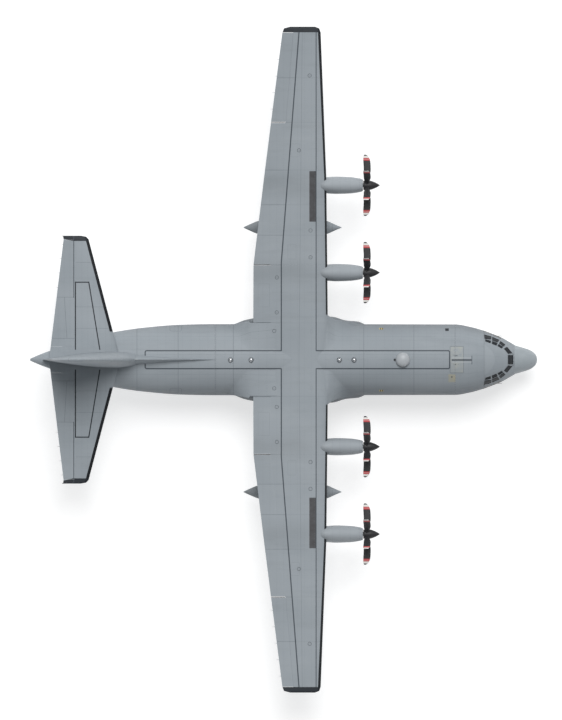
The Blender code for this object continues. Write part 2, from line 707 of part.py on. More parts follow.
def tyre(x, y, z, radius, width, rim):
    half = width / 2
    profile = ((-half, rim + 0.03), (-half, radius - 0.14 * radius), (-0.72 * half, radius - 0.02),
               (0, radius), (0.72 * half, radius - 0.02), (half, radius - 0.14 * radius), (half, rim + 0.03),
               (0.8 * half, rim), (-0.8 * half, rim))
    return turned("y", (x, z), [(y + along, reach) for along, reach in profile], WHEEL_STEPS, closed=True)


def hub_body(x, y, z, rim, half, axle, dish):
    bore = (axle + SEAT) / math.cos(math.pi / WHEEL_STEPS)
    profile = ((y - half, bore), (y - half, rim), (y + half, rim), (y + half, 0.8 * rim),
               (y + half - dish, 0.55 * rim), (y + half - dish, bore))
    return turned("y", (x, z), profile, WHEEL_STEPS, closed=True)


def make_main_gear(outside):
    axle = 0.075
    rim = 0.30
    for side, label in ((1, "left"), (-1, "right")):
        for x, spot in zip(MAIN_WHEEL_X, ("front", "rear")):
            centre = (x, side * MAIN_WHEEL_Y, MAIN_TYRE_RADIUS)
            add("main_tyre_%s_%s" % (label, spot), tyre(*centre, MAIN_TYRE_RADIUS, MAIN_TYRE_WIDTH, rim),
                RUBBER, centre)
            half = 0.20
            dish = 0.07 * side
            hub = hub_body(x, side * MAIN_WHEEL_Y, MAIN_TYRE_RADIUS, rim - SEAT, half * side, axle, dish)
            add("main_hub_%s_%s" % (label, spot), hub, STEEL, centre)
        beam_y = side * 1.79
        low, high = sorted((beam_y - 0.08, beam_y + 0.08))
        legs = add("main_gear_legs_" + label,
                   box(MAIN_WHEEL_X[1] - 0.12, MAIN_WHEEL_X[0] + 0.12, low, high, 0.60, 0.82), WHITE)
        for x, spot in zip(MAIN_WHEEL_X, ("front", "rear")):
            ends = sorted((beam_y, side * (MAIN_WHEEL_Y + 0.17)))
            shaft = turned("y", (x, MAIN_TYRE_RADIUS), ((ends[0], axle), (ends[1], axle)), 12)
            carve(legs, cutter("axle_%s_%s" % (label, spot), shaft), "UNION")
            strut = turned("z", (x, beam_y), ((0.70, 0.078), (1.60, 0.078)), 12)
            carve(legs, cutter("strut_%s_%s" % (label, spot), strut), "UNION")
        carve(legs, outside)
        door = [(side * y, z) for y, z in GEAR_DOOR]
        add("main_gear_door_" + label, prism("x", WELL_REAR + 0.05, WELL_FRONT - 0.05, door), SKIN)


def make_nose_gear():
    axle_z = NOSE_TYRE_RADIUS
    leg_foot = 1.16
    leg_top = NOSE_BAY[3] - NOSE_BAY_WALL - SEAT
    leg = add("nose_gear_leg", turned("z", (NOSE_WHEEL_X, 0), ((leg_foot, 0.11), (leg_top, 0.11)), 16), WHITE)
    brace = prism("y", -0.05, 0.05, ((NOSE_WHEEL_X - 0.05, 1.28), (NOSE_WHEEL_X - 0.05, 1.40),
                                     (NOSE_WHEEL_X - 0.75, 1.64), (NOSE_WHEEL_X - 0.82, 1.56)))
    carve(leg, cutter("brace", brace), "UNION")

    pivot = (NOSE_WHEEL_X, 0, leg_foot)
    fork = add("nose_fork", turned("z", (NOSE_WHEEL_X, 0), ((axle_z, 0.075), (1.02, 0.075), (1.03, 0.11),
                                                             (leg_foot - SEAT, 0.11)), 16), STEEL, pivot)
    axle = 0.055
    shaft = turned("y", (NOSE_WHEEL_X, axle_z), ((-0.42, axle), (0.42, axle)), 12)
    carve(fork, cutter("nose_axle", shaft), "UNION")

    rim = 0.20
    for side, label in ((1, "left"), (-1, "right")):
        centre = (NOSE_WHEEL_X, side * NOSE_WHEEL_Y, axle_z)
        add("nose_tyre_" + label, tyre(*centre, NOSE_TYRE_RADIUS, NOSE_TYRE_WIDTH, rim), RUBBER, centre)
        hub = hub_body(NOSE_WHEEL_X, side * NOSE_WHEEL_Y, axle_z, rim - SEAT, 0.13 * side, axle, 0.05 * side)
        add("nose_hub_" + label, hub, STEEL, centre)


# Tail

def make_tail(outside):
    spans = [-row[0] for row in reversed(TAILPLANE)] + [row[0] for row in TAILPLANE[1:]]
    rings = [foil_ring(TAILPLANE, abs(s), tail_place(1 if s >= 0 else -1)) for s in spans]
    plane = add("tailplane", loft(rings), SKIN)
    hollow = []
    for span in (-6.6, 0.0, 6.6):
        lead = between(TAILPLANE, abs(span))[0]
        spar = ELEVATOR_HINGE + 0.36
        hollow.append(hollow_ring(TAILPLANE, abs(span), tail_place(1 if span >= 0 else -1), lead - 0.28, spar,
                                  TAIL_SKIN))
    carve(plane, cutter("tailplane_hollow", loft(hollow)))
    carve(plane, outside)
    hinge = ((0.0, ELEVATOR_HINGE), (8.0, ELEVATOR_HINGE))
    for side, label in ((1, "left"), (-1, "right")):
        place = tail_place(side)
        carve(plane, cove("elevator_cove_" + label, TAILPLANE, hinge, ELEVATOR_INNER - RUN,
                          ELEVATOR_OUTER + RUN, place))
        elevator = surface("elevator_" + label, TAILPLANE, hinge, ELEVATOR_INNER, ELEVATOR_OUTER, place, SKIN,
                           place(ELEVATOR_HINGE, 0, ELEVATOR_INNER))
        pin = [place(ELEVATOR_HINGE, 0, span) for span in (ELEVATOR_INNER + 0.1, ELEVATOR_INNER - RUN + SEAT)]
        carve(elevator, cutter("elevator_pin_" + label, rod(pin[0], pin[1], 0.03)), "UNION")

    trim_rings = [foil_ring(TAILPLANE, abs(s), tail_place(1 if s >= 0 else -1), SEAT) for s in spans]
    plane_trim = cutter("tailplane_trim", loft(trim_rings))
    fin = add("fin", loft([foil_ring(FIN, row[0], fin_place) for row in FIN]), SKIN)
    ridge = [
        [(-4.10, 0.03, 4.70), (-4.10, 0.0, 4.95), (-4.10, -0.03, 4.70)],
        [(-6.80, 0.14, 4.70), (-6.80, 0.0, 5.32), (-6.80, -0.14, 4.70)],
        [(-8.70, 0.28, 4.70), (-8.70, 0.0, 5.66), (-8.70, -0.28, 4.70)],
        [(-9.80, 0.30, 4.70), (-9.80, 0.0, 5.90), (-9.80, -0.30, 4.70)],
    ]
    carve(fin, cutter("dorsal", loft(ridge)), "UNION")
    hollow = []
    for span in (4.40, 5.20, 10.90):
        lead = between(FIN, span)[0]
        spar = at_line(RUDDER_HINGE, span) + foil_at(FIN, span, at_line(RUDDER_HINGE, span)) + 0.12
        hollow.append(hollow_ring(FIN, span, fin_place, lead - 0.30, spar, TAIL_SKIN))
    carve(fin, cutter("fin_hollow", loft(hollow)))
    carve(fin, outside)
    carve(fin, plane_trim)
    carve(fin, cove("rudder_cove", FIN, RUDDER_HINGE, RUDDER_FOOT - RUN, RUDDER_HEAD + RUN, fin_place))
    rudder = surface("rudder", FIN, RUDDER_HINGE, RUDDER_FOOT, RUDDER_HEAD, fin_place, SKIN,
                     (at_line(RUDDER_HINGE, RUDDER_FOOT), 0, RUDDER_FOOT))
    pin = [(at_line(RUDDER_HINGE, span), 0, span) for span in (RUDDER_FOOT + 0.1, RUDDER_FOOT - RUN + 0.0016)]
    carve(rudder, cutter("rudder_pin", rod(pin[0], pin[1], 0.03)), "UNION")


def make_dome(outside):
    rise = ((4.80, 0.44), (5.02, 0.43), (5.14, 0.36), (5.22, 0.22), (5.25, 0.05))
    dome = add("satcom_dome", turned("z", (7.23, 0), rise, 16), WHITE)
    carve(dome, outside)


hull_outside = make_fuselage()
make_wing()
whole_wing = cutter("whole_wing", wing_body(-WING_TIP, WING_TIP, SEAT))
make_engines(whole_wing)
make_tanks(whole_wing)
make_main_gear(hull_outside)
make_nose_gear()
make_tail(hull_outside)
make_dome(hull_outside)
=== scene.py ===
import math

import bmesh
import bpy
from mathutils import Matrix, Vector


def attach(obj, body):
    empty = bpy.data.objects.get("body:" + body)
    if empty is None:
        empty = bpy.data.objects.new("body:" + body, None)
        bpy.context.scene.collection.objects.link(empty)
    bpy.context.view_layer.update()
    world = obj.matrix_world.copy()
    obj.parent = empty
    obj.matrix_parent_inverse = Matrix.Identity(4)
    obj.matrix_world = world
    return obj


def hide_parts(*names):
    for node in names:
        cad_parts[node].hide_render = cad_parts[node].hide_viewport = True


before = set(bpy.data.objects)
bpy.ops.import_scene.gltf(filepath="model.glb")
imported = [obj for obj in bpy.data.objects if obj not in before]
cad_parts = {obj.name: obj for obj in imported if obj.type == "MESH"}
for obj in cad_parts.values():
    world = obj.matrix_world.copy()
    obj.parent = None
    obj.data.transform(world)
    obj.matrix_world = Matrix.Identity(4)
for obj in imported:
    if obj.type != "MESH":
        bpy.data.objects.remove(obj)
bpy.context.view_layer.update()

modelScale = 0.5  # every length below is a real one in metres, and the model is half of it
sharpAngle = math.radians(35)


# Sizes that the frame's solids have too

hull = {  # station: half width, belly, crown, height of the widest line
    "rows": (
        (-15.38, 0.06, 4.34, 4.46, 4.40), (-14.90, 0.27, 4.18, 4.66, 4.42),
        (-14.17, 0.55, 3.98, 4.80, 4.38), (-12.30, 1.14, 3.48, 4.86, 4.12),
        (-10.25, 1.68, 2.80, 4.88, 3.72), (-8.40, 1.95, 2.02, 4.91, 3.34),
        (-6.24, 2.12, 1.24, 4.92, 2.98), (-4.15, 2.16, 0.63, 4.92, 2.77),
        (10.40, 2.14, 0.65, 4.91, 2.77), (11.32, 1.99, 0.71, 4.78, 2.70),
        (11.92, 1.83, 0.77, 4.60, 2.62), (12.55, 1.61, 0.86, 4.34, 2.52),
        (13.30, 1.30, 1.03, 3.88, 2.36), (13.67, 1.09, 1.16, 3.52, 2.26),
        (14.02, 0.886, 1.32, 3.02, 2.16),
    ),
    "wall": 0.12,
    "noseJoint": 10.40,
    "tailJoint": -4.15,
    "radomeJoint": 14.02,
    "bellyPower": 2.6,
    "steps": 96,
    "middle": 2.8,
    "round": 2.15,
    "rear": -15.38,
    "inside": (-13.40, 13.95),
    "frames": ((12.17, 0.95), (10.40, 0.80), (7.90, 0.80), (4.86, 2.65), (-3.05, 2.65), (-4.15, 3.30),
               (-6.40, 3.40), (-8.90, 3.40), (-11.30, 3.70)),  # station, height where its rivets start
}
radome = (
    (14.02, 0.875, 1.33, 3.00, 2.16), (14.41, 0.765, 1.43, 2.86, 2.15), (14.96, 0.575, 1.64, 2.66, 2.15),
    (15.26, 0.350, 1.86, 2.46, 2.16), (15.35, 0.190, 2.00, 2.33, 2.17), (15.38, 0.070, 2.10, 2.24, 2.17),
)
sponson = (  # station, outer half width, bottom, top
    (-3.06, 2.12, 1.30, 2.10), (-2.24, 2.42, 0.74, 2.42), (-1.00, 2.60, 0.60, 2.60),
    (2.90, 2.60, 0.60, 2.60), (3.80, 2.37, 0.70, 2.52), (4.55, 2.30, 0.94, 2.40), (4.95, 2.12, 1.30, 2.10),
)
wing = {
    "rows": (  # span station, leading edge, trailing edge, thickness
        (0.00, 2.70, -1.85, 0.82), (5.75, 2.65, -1.83, 0.78), (11.04, 2.59, -1.19, 0.60),
        (19.84, 2.25, -0.08, 0.28), (20.10, 2.16, 0.02, 0.20), (20.20, 1.90, 0.40, 0.08),
    ),
    "hinge": ((0.0, -0.78), (5.75, -0.78), (14.42, 0.09), (19.84, 0.55)),
    "height": 4.55,
    "dihedral": math.radians(2.5),
    "joint": 5.75,
    "tip": 20.20,
    "flapInner": 2.26,
    "flapOuter": 14.36,
    "aileronInner": 14.42,
    "aileronOuter": 19.84,
    "cap": 19.86,
    "slit": 0.03,  # from the wing's joint to the flap on each side of it
}
tailplane = {
    "rows": ((0.00, -9.91, -14.23, 0.50), (7.30, -11.83, -13.35, 0.20), (7.46, -11.98, -13.38, 0.12),
             (7.52, -12.30, -13.45, 0.05)),
    "height": 4.98,
    "hinge": -12.75,
    "elevatorInner": 0.80,
    "elevatorOuter": 7.26,
}
fin = {
    "rows": ((4.50, -8.55, -14.62, 1.00), (5.20, -8.82, -14.58, 0.98), (11.60, -11.85, -14.02, 0.28),
             (11.78, -12.02, -13.98, 0.16), (11.84, -12.40, -13.85, 0.06)),
    "hinge": ((5.20, -13.10), (11.60, -13.28)),
    "rudderFoot": 5.30,
    "rudderHead": 11.56,
}
engine = {
    "y": (10.58, 5.28, -5.28, -10.58),
    "hubDrop": 0.73,
    "rows": (  # station, half width, bottom from the shaft
        (4.81, 0.36, -0.62), (4.60, 0.42, -0.74), (4.00, 0.50, -0.82), (3.20, 0.525, -0.80),
        (2.60, 0.49, -0.72),
        (2.15, 0.44, -0.62), (1.20, 0.34, -0.36), (0.20, 0.20, -0.02), (-0.30, 0.06, 0.24),
    ),
    "spinner": ((4.83, 0.27), (4.93, 0.30), (5.22, 0.285), (5.50, 0.20), (5.70, 0.10), (5.82, 0.02)),
    "bladePlane": 5.04,
    "bladeRows": (  # radius, chord, thickness, sweep
        (0.16, 0.20, 0.13, 0.00), (0.50, 0.30, 0.10, 0.02), (0.95, 0.43, 0.07, 0.03),
        (1.40, 0.43, 0.05, 0.01), (1.74, 0.32, 0.035, -0.05), (1.86, 0.12, 0.02, -0.10),
    ),
    "blades": 6,
    "radius": 1.86,
}
tank = {
    "rows": ((3.51, 0.02), (3.30, 0.105), (3.03, 0.225), (2.62, 0.40), (2.30, 0.475), (1.90, 0.50),
             (-0.50, 0.50), (-1.20, 0.465), (-1.57, 0.39), (-2.02, 0.21), (-2.43, 0.02)),
    "y": 8.02,
    "height": 3.45,
}
gaps = {"seat": 0.0006, "run": 0.016, "seal": 0.012, "tight": 0.004}


# Shapes

def between(rows, key):
    ordered = sorted(rows)
    key = min(max(key, ordered[0][0]), ordered[-1][0])
    for low, high in zip(ordered, ordered[1:]):
        if key <= high[0]:
            share = (key - low[0]) / (high[0] - low[0])
            return [a + (b - a) * share for a, b in zip(low[1:], high[1:])]
    return list(ordered[-1][1:])


def flowing(rows, key):  # the same table read along a smooth curve that never overshoots its rows
    ordered = sorted(rows)
    key = min(max(key, ordered[0][0]), ordered[-1][0])
    last = len(ordered) - 1
    at = next(i for i in range(last) if key <= ordered[i + 1][0])
    low, high = ordered[at], ordered[at + 1]
    gap = high[0] - low[0]
    share = (key - low[0]) / gap

    def slope(index, column):
        if index == 0 or index == last:
            near = max(index, 1)
            return (ordered[near][column] - ordered[near - 1][column]) / (ordered[near][0]
                                                                          - ordered[near - 1][0])
        before = ((ordered[index][column] - ordered[index - 1][column])
                  / (ordered[index][0] - ordered[index - 1][0]))
        after = ((ordered[index + 1][column] - ordered[index][column])
                 / (ordered[index + 1][0] - ordered[index][0]))
        if before * after <= 0:
            return 0.0
        return 2 * before * after / (before + after)

    values = []
    for column in range(1, len(low)):
        start, end = slope(at, column) * gap, slope(at + 1, column) * gap
        a = 2 * share ** 3 - 3 * share ** 2 + 1
        b = share ** 3 - 2 * share ** 2 + share
        c = 3 * share ** 2 - 2 * share ** 3
        d = share ** 3 - share ** 2
        values.append(a * low[column] + b * start + c * high[column] + d * end)
    return values


def loft(rings, closed=False):
    bm = bmesh.new()
    loops = [[bm.verts.new(point) for point in ring] for ring in rings]
    count = len(loops[0])
    pairs = list(zip(loops, loops[1:]))
    if closed:
        pairs.append((loops[-1], loops[0]))
    else:
        bm.faces.new(loops[0])
        bm.faces.new(loops[-1])
    for first, second in pairs:
        for i in range(count):
            j = (i + 1) % count
            bm.faces.new((first[i], first[j], second[j], second[i]))
    bmesh.ops.recalc_face_normals(bm, faces=bm.faces)
    return bm


def merged(*parts):
    whole = bmesh.new()
    for bm in parts:
        mesh = bpy.data.meshes.new("part")
        bm.to_mesh(mesh)
        bm.free()
        whole.from_mesh(mesh)
        bpy.data.meshes.remove(mesh)
    return whole


def onAxis(axis, along, u, v):
    return {"x": (along, u, v), "y": (u, along, v), "z": (u, v, along)}[axis]


def prism(axis, low, high, outline):
    return loft([[onAxis(axis, along, u, v) for u, v in outline] for along in (low, high)])


def block(x0, x1, y0, y1, z0, z1):
    return prism("z", z0, z1, ((x0, y0), (x1, y0), (x1, y1), (x0, y1)))


def around(steps, start=0.0):
    return [2 * math.pi * (i + start) / steps for i in range(steps)]


def turned(axis, centre, profile, steps=48, closed=False):
    return loft([[onAxis(axis, along, centre[0] + radius * math.cos(t), centre[1] + radius * math.sin(t))
                  for t in around(steps)] for along, radius in profile], closed)


def rod(start, end, radius, steps=12, endRadius=None):
    start, end = Vector(start), Vector(end)
    turn = (end - start).to_track_quat("Z", "Y")
    rings = []
    for centre, reach in ((start, radius), (end, radius if endRadius is None else endRadius)):
        rings.append([centre + turn @ Vector((reach * math.cos(t), reach * math.sin(t), 0))
                      for t in around(steps)])
    return loft(rings)


def linked(name, data):
    made = bpy.data.objects.new(name, data)
    bpy.context.scene.collection.objects.link(made)
    return made


def smoothed(mesh):
    mesh.shade_smooth()
    mesh.set_sharp_from_angle(angle=sharpAngle)
    return mesh


def piece(name, bm):
    bmesh.ops.scale(bm, verts=bm.verts, vec=(modelScale,) * 3)
    mesh = bpy.data.meshes.new(name)
    bm.to_mesh(mesh)
    bm.free()
    return linked(name, smoothed(mesh))


def dropped(made):
    mesh = made.data
    bpy.data.objects.remove(made)
    bpy.data.meshes.remove(mesh)


def settle(made):  # what the modifiers make becomes the mesh
    bpy.context.view_layer.update()
    graph = bpy.context.evaluated_depsgraph_get()
    mesh = bpy.data.meshes.new_from_object(made.evaluated_get(graph))
    made.modifiers.clear()
    old = made.data
    made.data = smoothed(mesh)
    bpy.data.meshes.remove(old)
    return made


def cut(made, bm, operation="DIFFERENCE"):
    tool = piece("tool", bm)
    change = made.modifiers.new("change", "BOOLEAN")
    change.operation = operation
    change.solver = "EXACT"
    change.object = tool
    settle(made)
    dropped(tool)
    return made


def regained(made):  # a finished piece as a tool again, in full size metres
    bm = bmesh.new()
    bm.from_mesh(made.data)
    bmesh.ops.scale(bm, verts=bm.verts, vec=(1 / modelScale,) * 3)
    dropped(made)
    return bm


def joined(parts):  # several shapes as one piece
    return piece("joined", merged(*parts))


def dress(made, body, finish, slot, *nodes):  # ride, finish and the solids that the piece stands for; the slot is not used
    made.data.materials.clear()
    made.data.materials.append(paints[finish])
    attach(made, body)
    if nodes:
        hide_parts(*nodes)
    return made


def ovalRing(x, y, half, bottom, top, widest, steps, power=2.0):
    ring = []
    for turn in around(steps):
        side, rise = math.sin(turn), math.cos(turn)
        bend = 1.0 if rise >= 0 else 2.0 / power
        reach = math.copysign(abs(side) ** bend, side)
        lift = abs(rise) ** bend
        height = widest + (top - widest) * lift if rise >= 0 else widest - (widest - bottom) * lift
        ring.append((x, y + half * reach, height))
    return ring


def hullRing(x, inset=0.0, rows=None, steps=None):
    half, belly, crown, widest = flowing(rows or hull["rows"], x)
    return ovalRing(x, 0, half - inset, belly + inset, crown - inset, widest, steps or hull["steps"],
                    hull["bellyPower"])


def hullBody(low, high, inset=0.0, rows=None, step=0.30):
    count = max(2, int(round((high - low) / step)))
    return loft([hullRing(low + (high - low) * i / count, inset, rows) for i in range(count + 1)])


foilStops = [0.0004, 0.003, 0.01, 0.022, 0.04, 0.065, 0.10, 0.15, 0.21, 0.28, 0.36, 0.45, 0.55, 0.65, 0.75,
             0.85, 0.93, 1.0]


def foilHalf(share, thickness):
    curve = 0.2969 * math.sqrt(share) - 0.126 * share - 0.3516 * share ** 2
    curve += 0.2843 * share ** 3 - 0.1036 * share ** 4
    return max(5 * thickness * curve, 0.008)


def foilAt(rows, span, x):
    lead, trail, thickness = between(rows, span)
    return foilHalf((lead - x) / (lead - trail), thickness)


def foilRing(rows, span, place, grow=0.0, under=1.0):
    lead, trail, thickness = between(rows, span)
    lead, trail = lead + grow, trail - grow
    upper = [(lead - (lead - trail) * stop, foilHalf(stop, thickness) + grow) for stop in foilStops]
    lower = [(x, -rise * under) for x, rise in reversed(upper)]
    return [place(x, rise, span) for x, rise in upper + lower]


def noseArc(hinge, radius, steps=12):
    turns = [math.radians(-90 + 180 * i / steps) for i in range(steps + 1)]
    return [(hinge + radius * math.cos(t), radius * math.sin(t)) for t in turns]


def controlRing(rows, span, hinge, place):
    trail = between(rows, span)[1]
    stops = [hinge - (hinge - trail) * share for share in (0.15, 0.3, 0.45, 0.6, 0.75, 0.9, 1.0)]
    upper = [(x, foilAt(rows, span, x)) for x in stops]
    lower = [(x, -rise) for x, rise in reversed(upper)]
    return [place(x, rise, span) for x, rise in upper + lower + noseArc(hinge, foilAt(rows, span, hinge))]


def coveRing(rows, span, hinge, place, gap, reach=1.2):
    trail = between(rows, span)[1]
    nose = noseArc(hinge, foilAt(rows, span, hinge) + gap)
    behind = [(hinge, reach), (trail - 1.0, reach), (trail - 1.0, -reach), (hinge, -reach)]
    return [place(x, rise, span) for x, rise in nose + behind]


def spansOf(rows, low, high):
    inside = sorted(row[0] for row in rows if low + 0.01 < row[0] < high - 0.01)
    return [low] + inside + [high]


def wingPlane(span):
    return wing["height"] + abs(span) * math.tan(wing["dihedral"])


def wingPlace(side):
    return lambda x, rise, span: (x, side * span, wingPlane(span) + rise)


def tailPlace(side):
    return lambda x, rise, span: (x, side * span, tailplane["height"] + rise)


def finPlace(x, rise, span):
    return (x, rise, span)


def wingBody(low, high, grow=0.0):
    spans = sorted({low, high} | {s for row in wing["rows"] for s in (row[0], -row[0]) if low < s < high})
    return loft([foilRing(wing["rows"], abs(s), wingPlace(1 if s >= 0 else -1), grow) for s in spans])


def hubOf(y):
    return wingPlane(y) - engine["hubDrop"]


# Paint: a wire is a node's output, and sums of wires add their own nodes

class Wire:
    def __init__(self, paint, socket):
        self.paint, self.socket = paint, socket

    def __neg__(self):
        return self * -1

    def __abs__(self):
        return self.paint.sum("ABSOLUTE", self)

    def __gt__(self, other):
        return self.paint.sum("GREATER_THAN", self, other)


for sign, operation in (("add", "ADD"), ("sub", "SUBTRACT"), ("mul", "MULTIPLY"), ("truediv", "DIVIDE")):
    setattr(Wire, "__%s__" % sign, lambda self, other, kind=operation: self.paint.sum(kind, self, other))
    setattr(Wire, "__r%s__" % sign, lambda self, other, kind=operation: self.paint.sum(kind, other, self))


def tone(red, green, blue, alpha=1.0):  # screen colour, 0 to 255, as the shader wants it
    return tuple((c / 255 / 12.92 if c <= 10 else ((c / 255 + 0.055) / 1.055) ** 2.4)
                 for c in (red, green, blue)) + (alpha,)


class Paint:
    def __init__(self, name, **fixed):
        self.material = bpy.data.materials.new(name)
        self.material.use_nodes = True
        self.tree = self.material.node_tree
        self.shader = self.tree.nodes["Principled BSDF"]
        for socket, value in fixed.items():
            self.shader.inputs[socket.replace("_", " ")].default_value = value
        world = self.node("TexCoord", out="Object")
        self.place = self.node("VectorMath", {"operation": "SCALE"},
                               {"Vector": world, "Scale": 1 / modelScale})
        split = self.node("SeparateXYZ", {}, {0: self.place}, out=None)
        self.x, self.y, self.z = (Wire(self, socket) for socket in split.outputs)

    def node(self, kind, settings=None, inputs=None, out=0):
        made = self.tree.nodes.new("ShaderNode" + kind)
        for key, value in (settings or {}).items():
            setattr(made, key, value)
        for key, value in (inputs or {}).items():
            if isinstance(value, Wire):
                self.tree.links.new(value.socket, made.inputs[key])
            else:
                made.inputs[key].default_value = value
        return made if out is None else Wire(self, made.outputs[out])

    def sum(self, operation, *values):
        return self.node("Math", {"operation": operation}, dict(enumerate(values)))

    def clamped(self, value):
        return self.node("Math", {"operation": "ADD", "use_clamp": True}, {0: value, 1: 0.0})

    def most(self, first, *others):
        for other in others:
            first = self.sum("MAXIMUM", first, other)
        return first

    def mix(self, share, first, second):
        return self.node("Mix", {"data_type": "RGBA"}, {0: share, 6: first, 7: second}, out=2)

    def noise(self, scale, detail=2.0, stretch=(1, 1, 1), rough=0.5, twist=0.0):
        grid = self.node("VectorMath", {"operation": "MULTIPLY"}, {0: self.place, 1: stretch})
        return self.node("TexNoise", {}, {"Vector": grid, "Scale": scale, "Detail": detail,
                                          "Roughness": rough, "Distortion": twist}, out="Fac")

    def over(self, value, at, soft=0.01):  # 0 below a place, 1 above it
        return self.clamped((value - at) / soft + 0.5)

    def band(self, value, low, high, soft=0.01):
        return self.over(value, low, soft) * (1 - self.over(value, high, soft))

    def line(self, value, at, width, soft=0.01):  # 1 on a line, and a dip for the bump
        return self.clamped((width / 2 - abs(value - at)) / soft + 0.5)

    def rows(self, value, pitch, width, offset=0.0, soft=0.008):  # lines at an even pitch
        wave = self.sum("PINGPONG", value - offset, pitch / 2)
        return self.clamped((width / 2 - wave) / soft + 0.5)

    def cells(self, *values):  # one even random value for each panel, the panels given by pitch
        steps = [self.sum("FLOOR", value / pitch) for value, pitch in values]
        spot = self.node("CombineXYZ", {}, dict(enumerate(steps)))
        return self.node("TexWhiteNoise", {}, {"Vector": spot}, out="Value")

    def finish(self, colour, roughness=None, height=None, depth=0.002, strength=0.6, metal=None):
        self.tree.links.new(colour.socket, self.shader.inputs["Base Color"])
        if roughness is not None:
            self.tree.links.new(roughness.socket, self.shader.inputs["Roughness"])
        if metal is not None:
            self.tree.links.new(metal.socket, self.shader.inputs["Metallic"])
        if height is not None:
            bump = self.node("Bump", {}, {"Strength": strength, "Distance": depth, "Height": height})
            self.tree.links.new(bump.socket, self.shader.inputs["Normal"])
        return self.material


# Finishes

skinLook = {
    "grey": tone(154, 161, 167),
    "pale": tone(166, 172, 177),
    "deep": tone(138, 146, 152),
    "line": tone(74, 80, 86),
    "seam": tone(112, 118, 123),
    "edge": tone(33, 36, 41),
    "cap": tone(38, 42, 47),
    "boot": tone(16, 18, 21),
    "dirtAndShade": tone(96, 98, 98),
    "chalk": tone(178, 183, 186),
    "cream": tone(196, 194, 172),
    "ochre": tone(196, 180, 118),
    "stain": tone(56, 52, 52),
    "lineWidth": 0.075,
    "spineHalf": 0.545,
}


def skinPaint(name):
    return Paint(name, Roughness=0.5, IOR=1.45, Specular_IOR_Level=0.2)


def skinGround(paint, panels):  # weathered grey: slow drift, panel to panel change, streaks and specks
    colour = paint.mix(paint.noise(0.35, 3.0, (0.6, 1, 1)), skinLook["deep"], skinLook["pale"])
    colour = paint.mix(paint.cells(*panels) * 0.35, colour, skinLook["grey"])
    streak = paint.clamped((paint.noise(1.3, 5.0, (0.14, 1, 1), 0.65) - 0.52) * 3.2)
    colour = paint.mix(streak * 0.16, colour, skinLook["dirtAndShade"])
    chalk = paint.clamped((paint.noise(0.8, 4.0, (0.3, 1, 1), 0.6, 0.4) - 0.55) * 4)
    colour = paint.mix(chalk * 0.16, colour, skinLook["chalk"])
    speck = paint.clamped((paint.noise(26, 2.0) - 0.62) * 6)
    return paint.mix(speck * 0.14, colour, skinLook["dirtAndShade"]), streak


def skinFinish(paint, panels, seams, marks=(), rivets=None):
    colour, streak = skinGround(paint, panels)
    seam = paint.most(*seams)
    grime = paint.noise(5.0, 3.0)
    colour = paint.mix(seam * (0.35 + 0.45 * grime), colour, skinLook["seam"])
    height = 1.0 - seam
    if rivets is not None:
        colour = paint.mix(rivets * 0.16, colour, skinLook["seam"])
        height = height - 0.35 * rivets
    rough = 0.46 + 0.14 * grime + 0.1 * streak
    for mask, shade, share in marks:
        colour = paint.mix(mask * share, colour, shade)
    paint.finish(colour, rough, height + 0.05 * paint.noise(3.0, 2.0), depth=0.004, strength=0.35)
    return paint.material


def roundedLine(paint, u, v, box, radius, width, soft=0.012):  # outline of a box with rounded corners
    uLow, uHigh, vLow, vHigh = box
    du = abs(u - (uLow + uHigh) / 2) - ((uHigh - uLow) / 2 - radius)
    dv = abs(v - (vLow + vHigh) / 2) - ((vHigh - vLow) / 2 - radius)
    outU, outV = paint.most(du, 0.0), paint.most(dv, 0.0)
    reach = paint.sum("SQRT", outU * outU + outV * outV)
    inner = paint.sum("MINIMUM", paint.most(du, dv), 0.0)
    away = reach + inner - radius
    if width is None:
        return paint.clamped(0.5 - away / soft)
    return paint.clamped((width / 2 - abs(away)) / soft + 0.5)


def rivetRows(paint, across, pitch, along, step, wide=0.05):  # dots along lines at an even pitch
    return paint.rows(across, pitch, wide, soft=0.02) * paint.rows(along, step, wide - 0.01, soft=0.02)


hullMarks = {  # station and width or height, from and to
    "crewDoor": (-6.9, -6.2, 3.3, 4.1),
    "spine": (-8.40, 10.07, -0.545, 0.545),
    "cream": (10.10, 10.91, -0.80, 0.80),
    "ochre": (10.0, 10.42, -1.36, -0.89),
    "vent": (9.80, 10.02, 1.74, 1.90),
    "handle": (5.80, 6.05, 1.83, 1.93),
    "dot": (10.16, 10.25, -1.10, -1.00),
    "wingBox": (-0.10, 1.93),
    "slot": (10.19, 11.40),
    "smudge": (10.26, 10.62),
    "brow": (12.17, 13.62),
}


